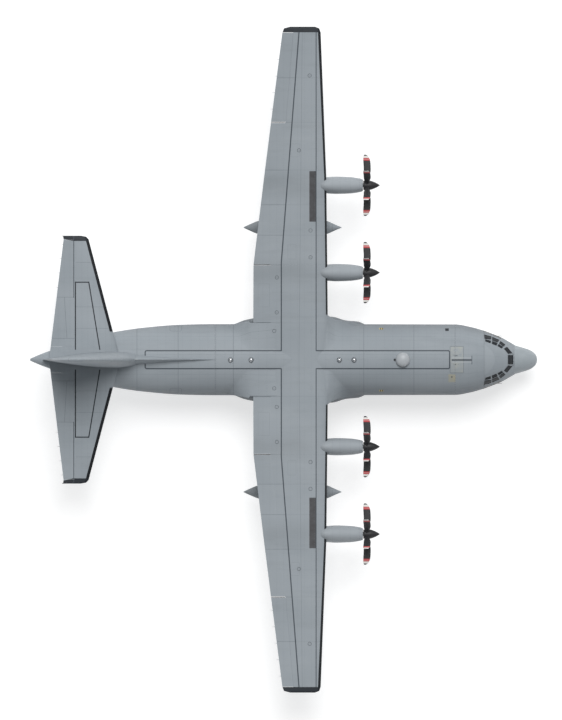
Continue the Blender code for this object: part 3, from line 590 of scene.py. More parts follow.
def fuselagePaint():
    paint = skinPaint("fuselageGrey")
    arc = paint.sum("ARCTAN2", paint.y, paint.z - hull["middle"]) * hull["round"]
    side = abs(paint.y)
    top = paint.over(paint.z, 4.2)
    frames = [paint.line(paint.x, at, 0.03) for at, _ in hull["frames"]]
    laps = [paint.rows(arc, 1.24, 0.02, 0.31) * 0.5]
    crewDoor = roundedLine(paint, paint.x, paint.z, hullMarks["crewDoor"], 0.12, 0.03)
    crewDoor = crewDoor * paint.over(side, 0.6)

    def onTop(box, radius, width, soft=0.012):
        return roundedLine(paint, paint.x, paint.y, box, radius, width, soft) * top

    spine = onTop(hullMarks["spine"], 0.10, skinLook["lineWidth"])
    cream, creamEdge = onTop(hullMarks["cream"], 0.03, None, 0.03), onTop(hullMarks["cream"], 0.03, 0.045)
    ochre = onTop(hullMarks["ochre"], 0.04, None, 0.06)
    upper = paint.over(paint.z, 3.0)
    vent = roundedLine(paint, paint.x, paint.y, hullMarks["vent"], 0.02, None) * upper
    handle = roundedLine(paint, paint.x, side, hullMarks["handle"], 0.02, None) * upper
    crossing = 1 - paint.band(paint.x, *hullMarks["wingBox"])
    strip = paint.band(paint.x, *hullMarks["slot"])
    slot = strip * paint.line(paint.y, -0.02, 0.09) * top
    slotEdge = strip * paint.line(abs(paint.y + 0.02), 0.13, 0.05) * top
    slotEnd = paint.line(paint.x, 11.42, 0.035) * paint.over(0.26, abs(paint.y + 0.02)) * top
    smudge = paint.band(paint.x, *hullMarks["smudge"]) * paint.line(abs(paint.y + 0.02), 0.27, 0.07) * top
    smudge = smudge * paint.over(paint.noise(14.0, 2.0), 0.5, 0.1)
    dot = onTop(hullMarks["dot"], 0.04, None, 0.03)
    flare = paint.over(side + 0.55 * (paint.x - hullMarks["brow"][0]), 1.28, 0.2)
    brow = paint.band(paint.x, *hullMarks["brow"], 0.02) * top * (1 - flare)
    patch = paint.noise(3.0, 3.0)
    # painted shade: the lowest part of the belly is painted darker, with random patches
    shadow = paint.over(-paint.z, -1.1, 0.6)
    # painted shade: the lower flanks and the belly, rising towards the nose, are painted darker in the line
    # tone, with random patches
    ahead = paint.most(paint.x - 10.4, 0.0)
    flankShade = paint.over(-paint.z - 0.13 * ahead * ahead, -3.70, 1.4)
    starboardShade = paint.over(-paint.y, 0.0, 3.0)  # painted shade: the starboard side, away from the lamp, is painted darker still
    marks = [(brow, skinLook["pale"], 0.35),
             (cream, skinLook["cream"], paint.clamped(patch * 1.6 - 0.45) * 0.5),
             (ochre, skinLook["ochre"], 0.06 + 0.55 * patch), (creamEdge, skinLook["seam"], 0.6),
             (flankShade, skinLook["line"], 0.36 + 0.16 * starboardShade + 0.3 * patch),
             (shadow, skinLook["dirtAndShade"], 0.22 + 0.2 * patch), (handle, skinLook["ochre"], 0.9),
             (paint.most(vent, handle * paint.rows(paint.x, 0.12, 0.05)), skinLook["edge"], 0.95),
             (spine * crossing, skinLook["line"], 0.95), (slotEdge, skinLook["chalk"], 0.6),
             (paint.most(slot, slotEnd), skinLook["line"], 0.95),
             (paint.most(smudge, dot), skinLook["line"], 0.8)]
    return skinFinish(paint, ((paint.x, 1.53), (arc, 0.62)), frames + laps + [crewDoor], marks,
                      paint.most(rivetRows(paint, paint.x, 0.51, arc, 0.11),
                                 rivetRows(paint, arc, 0.62, paint.x, 0.11)))


def wingPaint():
    paint = skinPaint("wingGrey")
    side = abs(paint.y)
    top = paint.over(paint.z - side * math.tan(wing["dihedral"]), wing["height"] + 0.02, 0.02)
    rear = -0.14 + 0.0767 * paint.most(side - 5.9, 0.0)  # where the rear painted line runs
    front = paint.line(paint.x, 1.97, 0.055)
    back = paint.line(paint.x, rear, skinLook["lineWidth"])
    onWing = paint.over(wing["cap"], side)
    cross = paint.over(side, 0.52)
    behind = 0.3 + 0.7 * paint.over(rear, paint.x, 0.02)  # the cross lines fade ahead of the rear line
    ribs = [paint.line(side, at, 0.03) * behind for at in (2.23, 5.75, 7.55, 9.4, 11.5, 14.4, 17.1)]
    seals = paint.most(paint.band(side, 5.725, 5.775) * paint.over(-0.80, paint.x),
                       paint.band(side, 14.365, 14.432) * paint.over(0.06, paint.x))
    spars = [paint.line(paint.x, 0.93 + 0.01 * side, 0.02) * top]
    front0 = 2.70 - 0.0087 * side - 0.030 * paint.most(side - 11.04, 0.0)  # the leading edge itself
    lead = paint.over(paint.x, front0 - 0.10 - 0.004 * side) * paint.over(side, 2.72, 0.1)
    spine = paint.line(side, skinLook["spineHalf"], skinLook["lineWidth"])
    spine = spine * (1 - paint.band(paint.x, -0.16, 1.99))
    tip = paint.over(side, wing["cap"], 0.015)
    stain = roundedLine(paint, paint.x, side, (1.56, 1.98, 8.37, 11.44), 0.03, None, 0.02) * top
    soot = 0.45 * paint.band(side, 4.7, 5.9, 0.9) + 0.45 * paint.band(side, 10.0, 11.2, 0.9)
    soot = soot * paint.over(1.6, paint.x, 1.5)
    hatch = paint.most(*[roundedLine(paint, paint.x, side, box, 0.06, 0.02) for box in
                         ((1.62, 1.74, 1.60, 1.84), (-1.55, -0.85, 3.2, 4.6), (0.25, 0.75, 6.1, 7.0),
                          (0.45, 0.95, 12.3, 13.1))])
    marks = [(paint.clamped(soot), skinLook["dirtAndShade"], 0.18 + 0.25 * paint.noise(1.2, 4.0, (0.2, 1, 1))),
             (stain, skinLook["stain"], 0.75 + 0.2 * paint.noise(4.0, 3.0)),
             (lead, skinLook["boot"], 0.95), (tip, skinLook["cap"], 0.95), (seals, skinLook["boot"], 0.95),
             (paint.most(paint.most(front, back) * onWing * cross, spine) * top, skinLook["line"], 0.95)]
    return skinFinish(paint, ((paint.x, 1.1), (side, 1.75)), ribs + spars + [hatch * top * 0.5], marks,
                      rivetRows(paint, paint.x, 0.42, side, 0.11))


def tailPaint():
    paint = skinPaint("tailGrey")
    side = abs(paint.y)
    top = paint.over(paint.z, tailplane["height"] + 0.01, 0.01)
    lead = paint.over(paint.x, -9.91 - 0.263 * side - 0.19) * paint.over(side, 1.70, 0.1)
    tip = paint.over(side - 0.24 * paint.most(-12.78 - paint.x, 0.0), 7.20, 0.02)
    hingeLine = paint.line(paint.x, -12.735, 0.05) * paint.over(side, 3.76) * top
    slope = -11.16 - 0.1634 * (side - 0.66)  # forward edge of the painted outline
    inside = paint.band(side, 0.60, 4.74)
    outline = paint.most(paint.line(paint.x, -12.63, 0.07) * inside,
                         paint.line(paint.x, slope, 0.07) * inside,
                         paint.line(side, 4.70, 0.07) * paint.over(paint.x, -12.66)
                         * paint.over(slope + 0.03, paint.x))
    tabEnds = paint.most(paint.line(side, 3.79, 0.03), paint.line(side, 1.29, 0.03))
    tabEnds = tabEnds * paint.over(-12.7, paint.x)
    tab = paint.line(paint.x, -13.15 - 0.06 * (side - 1.29), 0.03) * paint.band(side, 1.29, 3.79)
    ribs = [paint.line(side, at, 0.02) * paint.over(paint.x, -12.6) for at in (1.9, 3.2, 5.9)]
    marks = [(lead, skinLook["boot"], 0.97), (tip, skinLook["cap"], 0.95), (hingeLine, skinLook["line"], 0.8),
             (outline * top, skinLook["edge"], 0.95)]
    return skinFinish(paint, ((paint.x, 0.9), (side, 1.2)), [tabEnds, tab] + ribs, marks,
                      rivetRows(paint, paint.x, 0.36, side, 0.10))


def finPaint():
    paint = skinPaint("finGrey")
    ribs = [paint.line(paint.z, at, 0.03) for at in (6.1, 7.3, 8.5, 9.7, 10.8)]
    spar = paint.line(paint.x + 0.25 * (paint.z - 5.2), -11.4, 0.025)
    crest = paint.line(paint.y, -0.01, 0.02) * paint.over(paint.z, 4.95) * paint.over(5.9, paint.z)
    chips = paint.over(paint.noise(7.0, 4.0, (0.5, 1, 1), 0.7), 0.60, 0.05)
    chips = chips * paint.over(0.05, abs(paint.y), 0.03)
    marks = [(crest, skinLook["line"], 0.7), (chips, skinLook["chalk"], 0.8)]
    return skinFinish(paint, ((paint.x, 0.9), (paint.z, 1.2)), ribs + [spar], marks,
                      rivetRows(paint, paint.x, 0.36, paint.z, 0.10))


def bodyPaint(name, hoops, soot=0.0, fresh=0.0):  # nacelles, tanks, doors and fairings
    paint = skinPaint(name)
    rings = [paint.line(paint.x, at, 0.03) for at in hoops]
    dark = paint.noise(0.9, 4.0, (0.25, 1, 1)) * soot
    marks = [(paint.over(3.1, paint.x, 2.0), skinLook["dirtAndShade"], dark)] if soot else []
    if fresh:
        marks.append((paint.over(paint.x, 2.2, 1.2), skinLook["pale"], fresh))
    return skinFinish(paint, ((paint.x, 0.8), (paint.y, 1.1)), rings + [paint.rows(paint.x, 9.0, 0.02)],
                      marks, rivetRows(paint, paint.x, 0.31, paint.y + paint.z, 0.09, 0.04))


def plainFinish(name, low, high, rough, scale, metal=0.0, worn=None):  # two tones, and patches of a third
    paint = Paint(name, Metallic=metal, IOR=1.45)
    grain = paint.noise(scale, 4.0)
    colour = paint.mix(grain, tone(*low), tone(*high))
    patch = paint.clamped((paint.noise(scale * 0.22, 4.0, (1, 1, 1), 0.6) - 0.5) * 3)
    if worn is not None:
        colour = paint.mix(patch * 0.35, colour, tone(*worn))
    return paint.finish(colour, rough[0] + (rough[1] - rough[0]) * patch, grain, 0.001, 0.3)


def propellerPaint():
    paint = Paint("propellerBlack", IOR=1.45)
    side = abs(paint.y)
    far, near = engine["y"][:2]
    outer = side > (far + near) / 2
    across = abs(side - (far + near) / 2) - (far - near) / 2
    hub = hubOf(near) + outer * (hubOf(far) - hubOf(near))
    rise = paint.z - hub
    reach = paint.sum("SQRT", across * across + rise * rise)
    grain = paint.noise(9.0, 4.0)
    colour = paint.mix(grain, tone(34, 34, 36), tone(52, 52, 54))
    worn = paint.clamped((paint.noise(3.0, 5.0, (1, 1, 1), 0.7) - 0.56) * 5)
    colour = paint.mix(worn * 0.25, colour, tone(96, 96, 98))
    colour = paint.mix(paint.band(reach, 1.50, 1.66), colour, tone(196, 62, 66))
    colour = paint.mix(paint.line(reach, 1.58, 0.02), colour, tone(222, 190, 188))
    colour = paint.mix(paint.band(reach, 1.66, 1.785), colour, tone(232, 230, 226))
    return paint.finish(colour, 0.42 + 0.2 * grain, grain, 0.001, 0.25)


def tyrePaint():
    paint = Paint("tyreRubber", IOR=1.5)
    grain = paint.noise(30.0, 3.0)
    dust = paint.clamped((paint.noise(2.2, 4.0) - 0.42) * 2.4)
    colour = paint.mix(grain, tone(27, 27, 28), tone(44, 43, 42))
    colour = paint.mix(dust * 0.3, colour, tone(98, 92, 84))
    return paint.finish(colour, 0.78 + 0.14 * grain, grain, 0.001, 0.4)


def glassPaint():
    paint = Paint("windowGlass", IOR=1.45, Specular_IOR_Level=0.22)
    haze = paint.noise(1.6, 3.0)
    smear = paint.clamped((paint.noise(6.0, 4.0, (1, 1, 0.2)) - 0.5) * 3)
    colour = paint.mix(haze, tone(10, 15, 21), tone(24, 34, 42))
    return paint.finish(colour, 0.08 + 0.08 * smear, smear, 0.0005, 0.04)


def floorPaint():
    paint = Paint("cargoFloorPaint", IOR=1.45)
    rails = paint.rows(paint.y, 0.50, 0.07)
    scuff = paint.clamped((paint.noise(2.0, 5.0, (0.2, 1, 1), 0.65) - 0.5) * 4)
    colour = paint.mix(paint.noise(1.2, 3.0), tone(104, 108, 106), tone(126, 130, 127))
    colour = paint.mix(scuff * 0.4, colour, tone(74, 74, 72))
    colour = paint.mix(rails * 0.7, colour, tone(150, 152, 150))
    sheets = paint.rows(paint.x, 1.22, 0.02)
    return paint.finish(paint.mix(sheets * 0.6, colour, tone(60, 60, 60)), 0.5 + 0.2 * scuff,
                        rails - sheets, 0.004, 0.4)


def deckPaint():  # one node holds the floor, the bulkhead, the panel and the seats
    paint = Paint("flightDeckPaint", IOR=1.45)
    grain = paint.noise(3.0, 4.0)
    colour = paint.mix(grain, tone(112, 116, 112), tone(134, 138, 132))
    panel = paint.over(paint.x, 12.90) * paint.over(paint.z, 2.13)
    dials = paint.rows(paint.y, 0.17, 0.11, 0.0, 0.01) * paint.rows(paint.z, 0.17, 0.11, 0.0, 0.01)
    colour = paint.mix(panel, colour, tone(44, 46, 48))
    colour = paint.mix(panel * dials * 0.8, colour, tone(14, 15, 16))
    seats = paint.band(paint.x, 11.58, 12.30) * paint.band(abs(paint.y), 0.46, 0.98)
    seats = seats * paint.over(paint.z, 2.125)
    weave = paint.noise(60.0, 2.0)
    colour = paint.mix(seats, colour, paint.mix(weave, tone(52, 60, 54), tone(74, 82, 74)))
    return paint.finish(colour, 0.55 + 0.3 * seats * weave, grain + panel * dials, 0.004, 0.4)


paints = {
    "fuselage": fuselagePaint(), "wing": wingPaint(), "tail": tailPaint(), "fin": finPaint(),
    "nacelle": bodyPaint("nacelleGrey", (4.60, 4.05, 3.42, 2.95, 2.45, 1.4), soot=0.5, fresh=0.75),
    "tank": bodyPaint("tankGrey", (2.95, 1.90, 0.7, -0.50, -1.55), soot=0.9),
    "door": bodyPaint("doorGrey", (-5.2, -6.3, -8.0, -9.1, -10.1, 9.28, 9.92)),
    "radome": plainFinish("radomeGrey", (150, 158, 163), (166, 173, 177), (0.42, 0.6), 3.0,
                          worn=(140, 146, 150)),
    "dome": plainFinish("domeGrey", (166, 171, 175), (180, 184, 187), (0.4, 0.55), 4.0),
    "propeller": propellerPaint(),
    "tyre": tyrePaint(),
    "glass": glassPaint(),
    "floor": floorPaint(),
    "deck": deckPaint(),
    "lining": plainFinish("liningGreen", (120, 128, 118), (138, 145, 134), (0.55, 0.75), 2.0,
                          worn=(96, 100, 94)),
    "gear": plainFinish("gearWhite", (196, 198, 196), (214, 215, 212), (0.35, 0.6), 6.0,
                        worn=(120, 116, 108)),
    "wheel": plainFinish("wheelWhite", (176, 178, 178), (196, 198, 197), (0.35, 0.6), 7.0,
                         worn=(98, 92, 84)),
    "chrome": plainFinish("oleoChrome", (198, 200, 204), (220, 222, 226), (0.08, 0.2), 5.0, 1.0),
    "steel": plainFinish("bareSteel", (120, 122, 126), (160, 162, 166), (0.25, 0.45), 9.0, 0.9,
                         worn=(92, 84, 78)),
    "burnt": plainFinish("burntSteel", (70, 62, 58), (112, 100, 92), (0.4, 0.65), 5.0, 0.8,
                         worn=(44, 40, 38)),
    "engine": plainFinish("engineCasing", (92, 92, 90), (138, 138, 136), (0.35, 0.6), 6.0, 0.6,
                          worn=(66, 58, 50)),
    "black": plainFinish("blackTrim", (24, 25, 27), (40, 41, 43), (0.5, 0.7), 8.0),
    "seal": plainFinish("greySeal", (62, 66, 70), (80, 84, 88), (0.6, 0.8), 9.0),
    "fitting": plainFinish("polishedFitting", (214, 216, 220), (236, 238, 240), (0.04, 0.1), 3.0, 1.0),
    "rig": plainFinish("antennaBlack", (36, 37, 40), (58, 59, 62), (0.4, 0.6), 9.0),
    "rivet": plainFinish("rivetGrey", (122, 128, 133), (138, 144, 149), (0.45, 0.6), 9.0),
    "red": plainFinish("redLens", (150, 12, 12), (190, 26, 22), (0.08, 0.16), 4.0),
    "green": plainFinish("greenLens", (12, 110, 60), (20, 150, 84), (0.08, 0.16), 4.0),
    "clear": plainFinish("clearLens", (200, 204, 206), (228, 230, 232), (0.05, 0.1), 4.0),
}
print("finishes made")


# Fuselage

doorTable = {
    "rampHalf": 1.45,
    "faceFoot": -7.30,
    "faceLean": 0.387,
    "belly": 1.55,
    "doorShell": 0.18,
    "doorRear": -10.55,
    "doorRearHalf": 1.05,
    "doorWaist": -8.6,
    "doorTop": 3.27,
    "openingTop": 3.36,
    "crew": (9.20, 10.0, 0.98, 2.62),
    "paratroop": (-4.02, -3.14, 1.06, 2.86),
    "sides": ((1.2, 2.4, "left"), (-2.4, -1.2, "right")),
    "crewWindow": (9.60, 2.20),
    "windowHeight": 2.35,
    "noseBay": (11.10, 13.05, 0.78, 1.30),
    "wheelWell": (-0.66, 2.56, 1.62, 2.50, 1.50),
}
panes = {
    "roof": (
        ((12.16, 1.52), (12.59, 1.41), (12.58, 1.23), (12.21, 1.26)),
        ((12.66, 1.38), (13.08, 1.20), (12.98, 1.05), (12.66, 1.165)),
        ((13.15, 1.13), (13.45, 0.915), (13.33, 0.785), (13.08, 0.985)),
        ((12.22, 1.225), (12.57, 1.155), (12.55, 1.00), (12.26, 1.10)),
        ((12.66, 1.125), (12.975, 1.01), (12.90, 0.855), (12.64, 0.965)),
        ((13.065, 0.94), (13.31, 0.765), (13.21, 0.685), (12.98, 0.835)),
        ((13.56, 0.77), (13.87, 0.40), (13.62, 0.355), (13.37, 0.665)),
    ),
    "centre": ((13.61, 0.275), (13.92, 0.275), (13.92, -0.275), (13.61, -0.275)),
    "low": (
        ((12.10, 2.62), (12.62, 2.62), (12.62, 3.06), (12.18, 3.06)),
        ((12.72, 2.62), (13.20, 2.62), (13.14, 2.98), (12.72, 3.06)),
    ),
    "roofCut": (2.7, 5.2),
    "lowCuts": ((0.7, 2.3), (-2.3, -0.7)),
    "cornerSteps": 4,
    "corner": 0.035,
    "glassDrop": 0.012,
}


def softened(outline, radius, steps=4):  # an outline with its corners rounded
    rounded = []
    count = len(outline)
    for i, spot in enumerate(outline):
        spot = Vector(spot)
        before, after = Vector(outline[i - 1]) - spot, Vector(outline[(i + 1) % count]) - spot
        reach = min(radius, before.length * 0.45, after.length * 0.45)
        start, end = spot + before.normalized() * reach, spot + after.normalized() * reach
        for step in range(steps + 1):
            share = step / steps
            bend = spot * 2 * share * (1 - share)
            rounded.append(tuple(start * (1 - share) ** 2 + bend + end * share ** 2))
    return rounded


def paneOutline(outline, grow, side=1):
    middle = sum((Vector(spot) for spot in outline), Vector((0, 0))) / len(outline)
    wider = [Vector(spot) + (Vector(spot) - middle).normalized() * grow for spot in outline]
    return softened([(x, side * y) for x, y in wider], panes["corner"], panes["cornerSteps"])


def paneTools(grow=0.0):  # every pane as a prism through the skin: the roof's, and the sides'
    roof = [prism("z", *panes["roofCut"], paneOutline(outline, grow, side))
            for outline in panes["roof"] for side in (1, -1)]
    roof.append(prism("z", *panes["roofCut"], paneOutline(panes["centre"], grow)))
    low = [prism("y", *ends, paneOutline(outline, grow)) for outline in panes["low"]
           for ends in panes["lowCuts"]]
    return merged(*roof), merged(*low)


def splineRing(points, count):  # a closed smooth curve through the points
    ring = []
    total = len(points)
    for i in range(count):
        at = i * total / count
        k, t = int(at), at - int(at)
        a, b, c, d = (Vector(points[(k + n - 1) % total]) for n in range(4))
        ring.append(tuple(0.5 * (2 * b + (c - a) * t + (2 * a - 5 * b + 4 * c - d) * t * t
                                 + (3 * b - a - 3 * c + d) * t ** 3)))
    return ring


def sponsonBody(side):
    rings = []
    low, high = sponson[0][0], sponson[-1][0]
    for i in range(41):
        x = low + (high - low) * i / 40
        half, bottom, top = flowing(sponson, x)
        height = top - bottom
        outline = ((1.30, bottom + 0.36 * height), (1.42, bottom + 0.02), (half - 0.30, bottom),
                   (half - 0.09, bottom + 0.04 * height), (half, bottom + 0.22 * height),
                   (half, bottom + 0.52 * height), (half - 0.09, bottom + 0.78 * height),
                   (half - 0.28, top - 0.04), (1.62, top), (1.40, bottom + 0.60 * height))
        rings.append([(x, side * y, z) for y, z in splineRing(outline, 60)])
    return loft(rings)


rootFillet = {  # station, y and z of the outer edge, z of the foot
    "front": ((2.30, 2.72, 4.90, 4.20), (2.66, 2.71, 4.70, 3.80), (2.80, 2.62, 4.50, 3.55),
              (3.10, 2.45, 4.12, 3.20),
              (3.50, 2.36, 3.72, 2.90), (4.00, 2.28, 3.34, 2.72), (4.50, 2.18, 3.06, 2.66),
              (4.95, 2.05, 2.90, 2.66)),
    "rear": ((-4.05, 1.96, 3.00, 2.90), (-3.50, 2.08, 3.36, 2.92), (-3.00, 2.17, 3.76, 3.10),
             (-2.60, 2.24, 4.12, 3.40), (-2.30, 2.30, 4.40, 3.75), (-2.11, 2.33, 4.56, 4.05),
             (-2.06, 2.23, 4.60, 4.10), (-1.85, 2.23, 4.665, 4.40), (-1.20, 2.23, 4.78, 4.52),
             (-0.60, 2.23, 4.885, 4.52), (-0.20, 2.20, 4.92, 4.52)),
    "edge": 0.05,
    "inner": 0.60,
    "points": 110,
}


def wrapped(points):  # the shape a tight band takes round the points
    points = sorted(set(points))
    halves = []
    for run in (points, points[::-1]):
        half = []
        for spot in run:
            while len(half) > 1 and ((half[-1][0] - half[-2][0]) * (spot[1] - half[-2][1])
                                     <= (half[-1][1] - half[-2][1]) * (spot[0] - half[-2][0])):
                half.pop()
            half.append(spot)
        halves += half[:-1]
    return halves


def spaced(outline, count):  # points at even distances along an open line
    lengths = [0.0]
    for a, b in zip(outline, outline[1:]):
        lengths.append(lengths[-1] + math.dist(a, b))
    line = []
    for i in range(count):
        at = lengths[-1] * i / (count - 1)
        k = max(n for n in range(len(outline) - 1) if lengths[n] <= at)
        share = (at - lengths[k]) / max(lengths[k + 1] - lengths[k], 1e-9)
        line.append(tuple(u + (v - u) * share for u, v in zip(outline[k], outline[k + 1])))
    return line


def filletBody(rows, side, step=0.04):  # the hull's section drawn out to the wing root, smooth above
    low, high = rows[0][0], rows[-1][0]
    count = int((high - low) / step)
    inner, edge = rootFillet["inner"], rootFillet["edge"]
    rings = []
    for i in range(count + 1):
        x = low + (high - low) * i / count
        outY, outZ, foot = flowing(rows, x)
        shell = [(y, z) for _, y, z in hullRing(x, 0.012, steps=8 * hull["steps"]) if y > inner and z > foot]
        bead = [(outY - edge + edge * math.cos(t * 0.524), outZ - edge + edge * math.sin(t * 0.524))
                for t in range(12)]
        band = wrapped(shell + bead + [(inner, foot), (inner, max(z for _, z in shell))])
        start = band.index((inner, foot))
        line = spaced(band[start:] + band[:start], rootFillet["points"])
        rings.append([(x, side * y, z) for y, z in line])
    return loft(rings)


portholes = {"radius": 0.15, "places": ((8.35, 2.55), (5.60, 2.55), (-2.20, 3.00))}


def drill(x, z, radius, low, reach=1.6):  # a round bar across the hull's side
    return turned("y", (x, z), ((low, radius), (low + reach, radius)), 32)


def portholeTools(radius):
    return [drill(x, z, radius, low) for x, z in portholes["places"] for low in (0.8, -2.4)]


def openingPlan(front, wider=0.0, longer=0.0):  # the cargo door's outline from above
    half, rearHalf = doorTable["rampHalf"] + wider, doorTable["doorRearHalf"] + wider
    waist, rear = doorTable["doorWaist"], doorTable["doorRear"] - longer
    return ((front, half), (waist, half), (rear, rearHalf), (rear, -rearHalf), (waist, -half), (front, -half))


def makeFuselage():
    seat, run, wall = gaps["seat"], gaps["run"], hull["wall"]
    inside = (*hull["inside"], wall)
    nose = piece("nose_skin", hullBody(hull["noseJoint"] + seat, hull["radomeJoint"], step=0.05))
    cut(nose, hullBody(*inside))
    for tool in paneTools():
        cut(nose, tool)
    rear, front, half, top = doorTable["noseBay"]
    cut(nose, block(rear, front, -half, half, 0.0, top))
    dress(nose, "airframe", "fuselage", "grey_skin", "nose_section")

    centre = piece("centre_skin", hullBody(hull["tailJoint"] + seat, hull["noseJoint"]))
    wellRear, wellFront, wellInner, wellOuter, wellTop = doorTable["wheelWell"]
    for side in (1, -1):
        bulge = piece("bulge", sponsonBody(side))
        low, high = sorted((side * wellInner, side * wellOuter))
        cut(bulge, block(wellRear, wellFront, low, high, 0.0, wellTop))
        cut(centre, regained(bulge), "UNION")
    for side in (1, -1):
        for rows in (rootFillet["front"], rootFillet["rear"]):
            cut(centre, filletBody(rows, side), "UNION")
    cut(centre, hullBody(*inside))
    cut(centre, wingBody(-wing["joint"], wing["joint"], seat))
    x0, x1, z0, z1 = doorTable["crew"]
    cut(centre, block(x0 - run, x1 + run, 1.2, 2.4, z0 - run, z1 + run))
    x0, x1, z0, z1 = doorTable["paratroop"]
    cut(centre, merged(*[block(x0 - seat, x1 + seat, low, high, z0 - seat, z1 + seat)
                         for low, high, _ in doorTable["sides"]]))
    cut(centre, merged(*portholeTools(portholes["radius"])))
    dress(centre, "airframe", "fuselage", "grey_skin", "centre_fuselage")

    aft = piece("aft_skin", hullBody(hull["rear"], hull["tailJoint"]))
    cut(aft, hullBody(*inside))
    cut(aft, prism("z", 0.0, doorTable["openingTop"], openingPlan(-4.05, run, seat)))
    dress(aft, "airframe", "fuselage", "grey_skin", "aft_fuselage")

    shell = piece("radome_shell", hullBody(hull["radomeJoint"] + seat, radome[-1][0], 0, radome, 0.05))
    dress(shell, "airframe", "radome", "radome_grey", "radome")


def makeDoors():
    seat = gaps["seat"]
    half, foot, lean = doorTable["rampHalf"], doorTable["faceFoot"], doorTable["faceLean"]
    front = hull["tailJoint"] - seat

    def faceAt(z):
        return foot + (z - doorTable["belly"]) * lean

    ramp = piece("ramp_skin", hullBody(-8.4, front))
    cut(ramp, prism("y", -half, half, ((front, 0.0), (front, 1.03), (faceAt(1.97), 1.97),
                                       (faceAt(0.0), 0.0))),
        "INTERSECT")
    dress(ramp, "cargo_ramp", "door", "grey_skin", "cargo_ramp")

    door = piece("cargo_door_skin", hullBody(-11.2, -6.9))
    cut(door, hullBody(-11.4, -6.8, doorTable["doorShell"]))
    cut(door, prism("z", 1.0, doorTable["doorTop"], openingPlan(-6.6)), "INTERSECT")
    cut(door, prism("y", -3, 3, ((faceAt(0.0) - 0.03, 0.0), (faceAt(5.0) - 0.03, 5.0), (-3.0, 5.0),
                                 (-3.0, 0.0))))
    dress(door, "cargo_door", "door", "grey_skin", "cargo_door")

    x0, x1, z0, z1 = doorTable["crew"]
    crew = piece("crew_door_skin", hullBody(9.0, 10.3))
    cut(crew, hullBody(8.9, 10.38, hull["wall"]))
    shape = softened([(x0, z0), (x1, z0), (x1, z1), (x0, z1)], 0.14, 6)
    cut(crew, prism("y", 1.2, 2.4, shape), "INTERSECT")
    cut(crew, turned("y", doorTable["crewWindow"], ((1.2, 0.13), (2.6, 0.13)), 32))
    dress(crew, "crew_door", "door", "grey_skin", "crew_door")

    x0, x1, z0, z1 = doorTable["paratroop"]
    for low, high, label in doorTable["sides"]:
        door = piece("paratroop_door_skin_" + label, hullBody(-4.14, -3.0))
        cut(door, hullBody(-4.2, -2.9, hull["wall"]))
        cut(door, prism("y", low, high, softened([(x0, z0), (x1, z0), (x1, z1), (x0, z1)], 0.10, 5)),
            "INTERSECT")
        cut(door, turned("y", ((x0 + x1) / 2, doorTable["windowHeight"]),
                         ((low - 0.2, 0.15), (high + 0.2, 0.15)), 32))
        dress(door, "airframe", "fuselage", "grey_skin", "paratroop_door_" + label)


def shellOf(low, high, outer, inner, step=0.15, name="shell"):
    made = piece(name, hullBody(low, high, outer, step=step))
    return cut(made, hullBody(low - 0.02, high + 0.02, inner, step=step))


def paneShell(outer, inner, grow, hollow=None):  # the skin's own curve, kept only inside the panes
    parts = []
    for number in range(2):
        shell = shellOf(11.5, 13.99, outer, inner)
        cut(shell, paneTools(grow)[number], "INTERSECT")
        if hollow is not None:
            cut(shell, paneTools(hollow)[number])
        parts.append(regained(shell))
    return merged(*parts)


def makeGlazing():
    drop = panes["glassDrop"]
    glass = piece("cockpit_panes", paneShell(drop, drop + 0.035, 0.02))
    dress(glass, "airframe", "glass", "window_glass", "cockpit_glass")

    seals = piece("pane_seals", paneShell(-0.004, 0.05, 0.024, -0.012))
    dress(seals, "airframe", "seal", "radome_grey")

    glass = shellOf(-4.1, 10.38, 0.02, 0.05, 0.5, "porthole_panes")
    x0, x1 = doorTable["paratroop"][:2]
    doors = [drill((x0 + x1) / 2, doorTable["windowHeight"], 0.16, low) for low in (0.8, -2.4)]
    cut(glass, merged(*portholeTools(portholes["radius"] + 0.012), *doors), "INTERSECT")
    dress(glass, "airframe", "glass", "window_glass")

    glass = shellOf(9.3, 9.9, 0.02, 0.05, name="crew_door_pane")
    cut(glass, turned("y", doorTable["crewWindow"], ((1.2, 0.142), (2.6, 0.142)), 32), "INTERSECT")
    dress(glass, "crew_door", "glass", "window_glass")


makeFuselage()
makeDoors()
makeGlazing()
print("fuselage made")


# Wings and tail

def spanStops(rows, low, high):
    stops = spansOf(rows, low, high)
    tip = rows[-3][0]
    if high > tip:
        stops += [tip + (high - tip) * share for share in (0.25, 0.5, 0.68, 0.8, 0.88, 0.94, 0.975)]
    return sorted(set(stops))


def surface(name, rows, hinge, low, high, place):
    rings = [controlRing(rows, span, between(hinge, span)[0], place) for span in spanStops(rows, low, high)]
    return piece(name, loft(rings))


def cove(rows, hinge, low, high, place, gap):
    stops = spansOf(rows, low, high)
    return loft([coveRing(rows, span, between(hinge, span)[0], place, gap) for span in stops])


def skinBetween(name, rows, low, high, place):
    return piece(name, loft([foilRing(rows, span, place) for span in spanStops(rows, low, high)]))


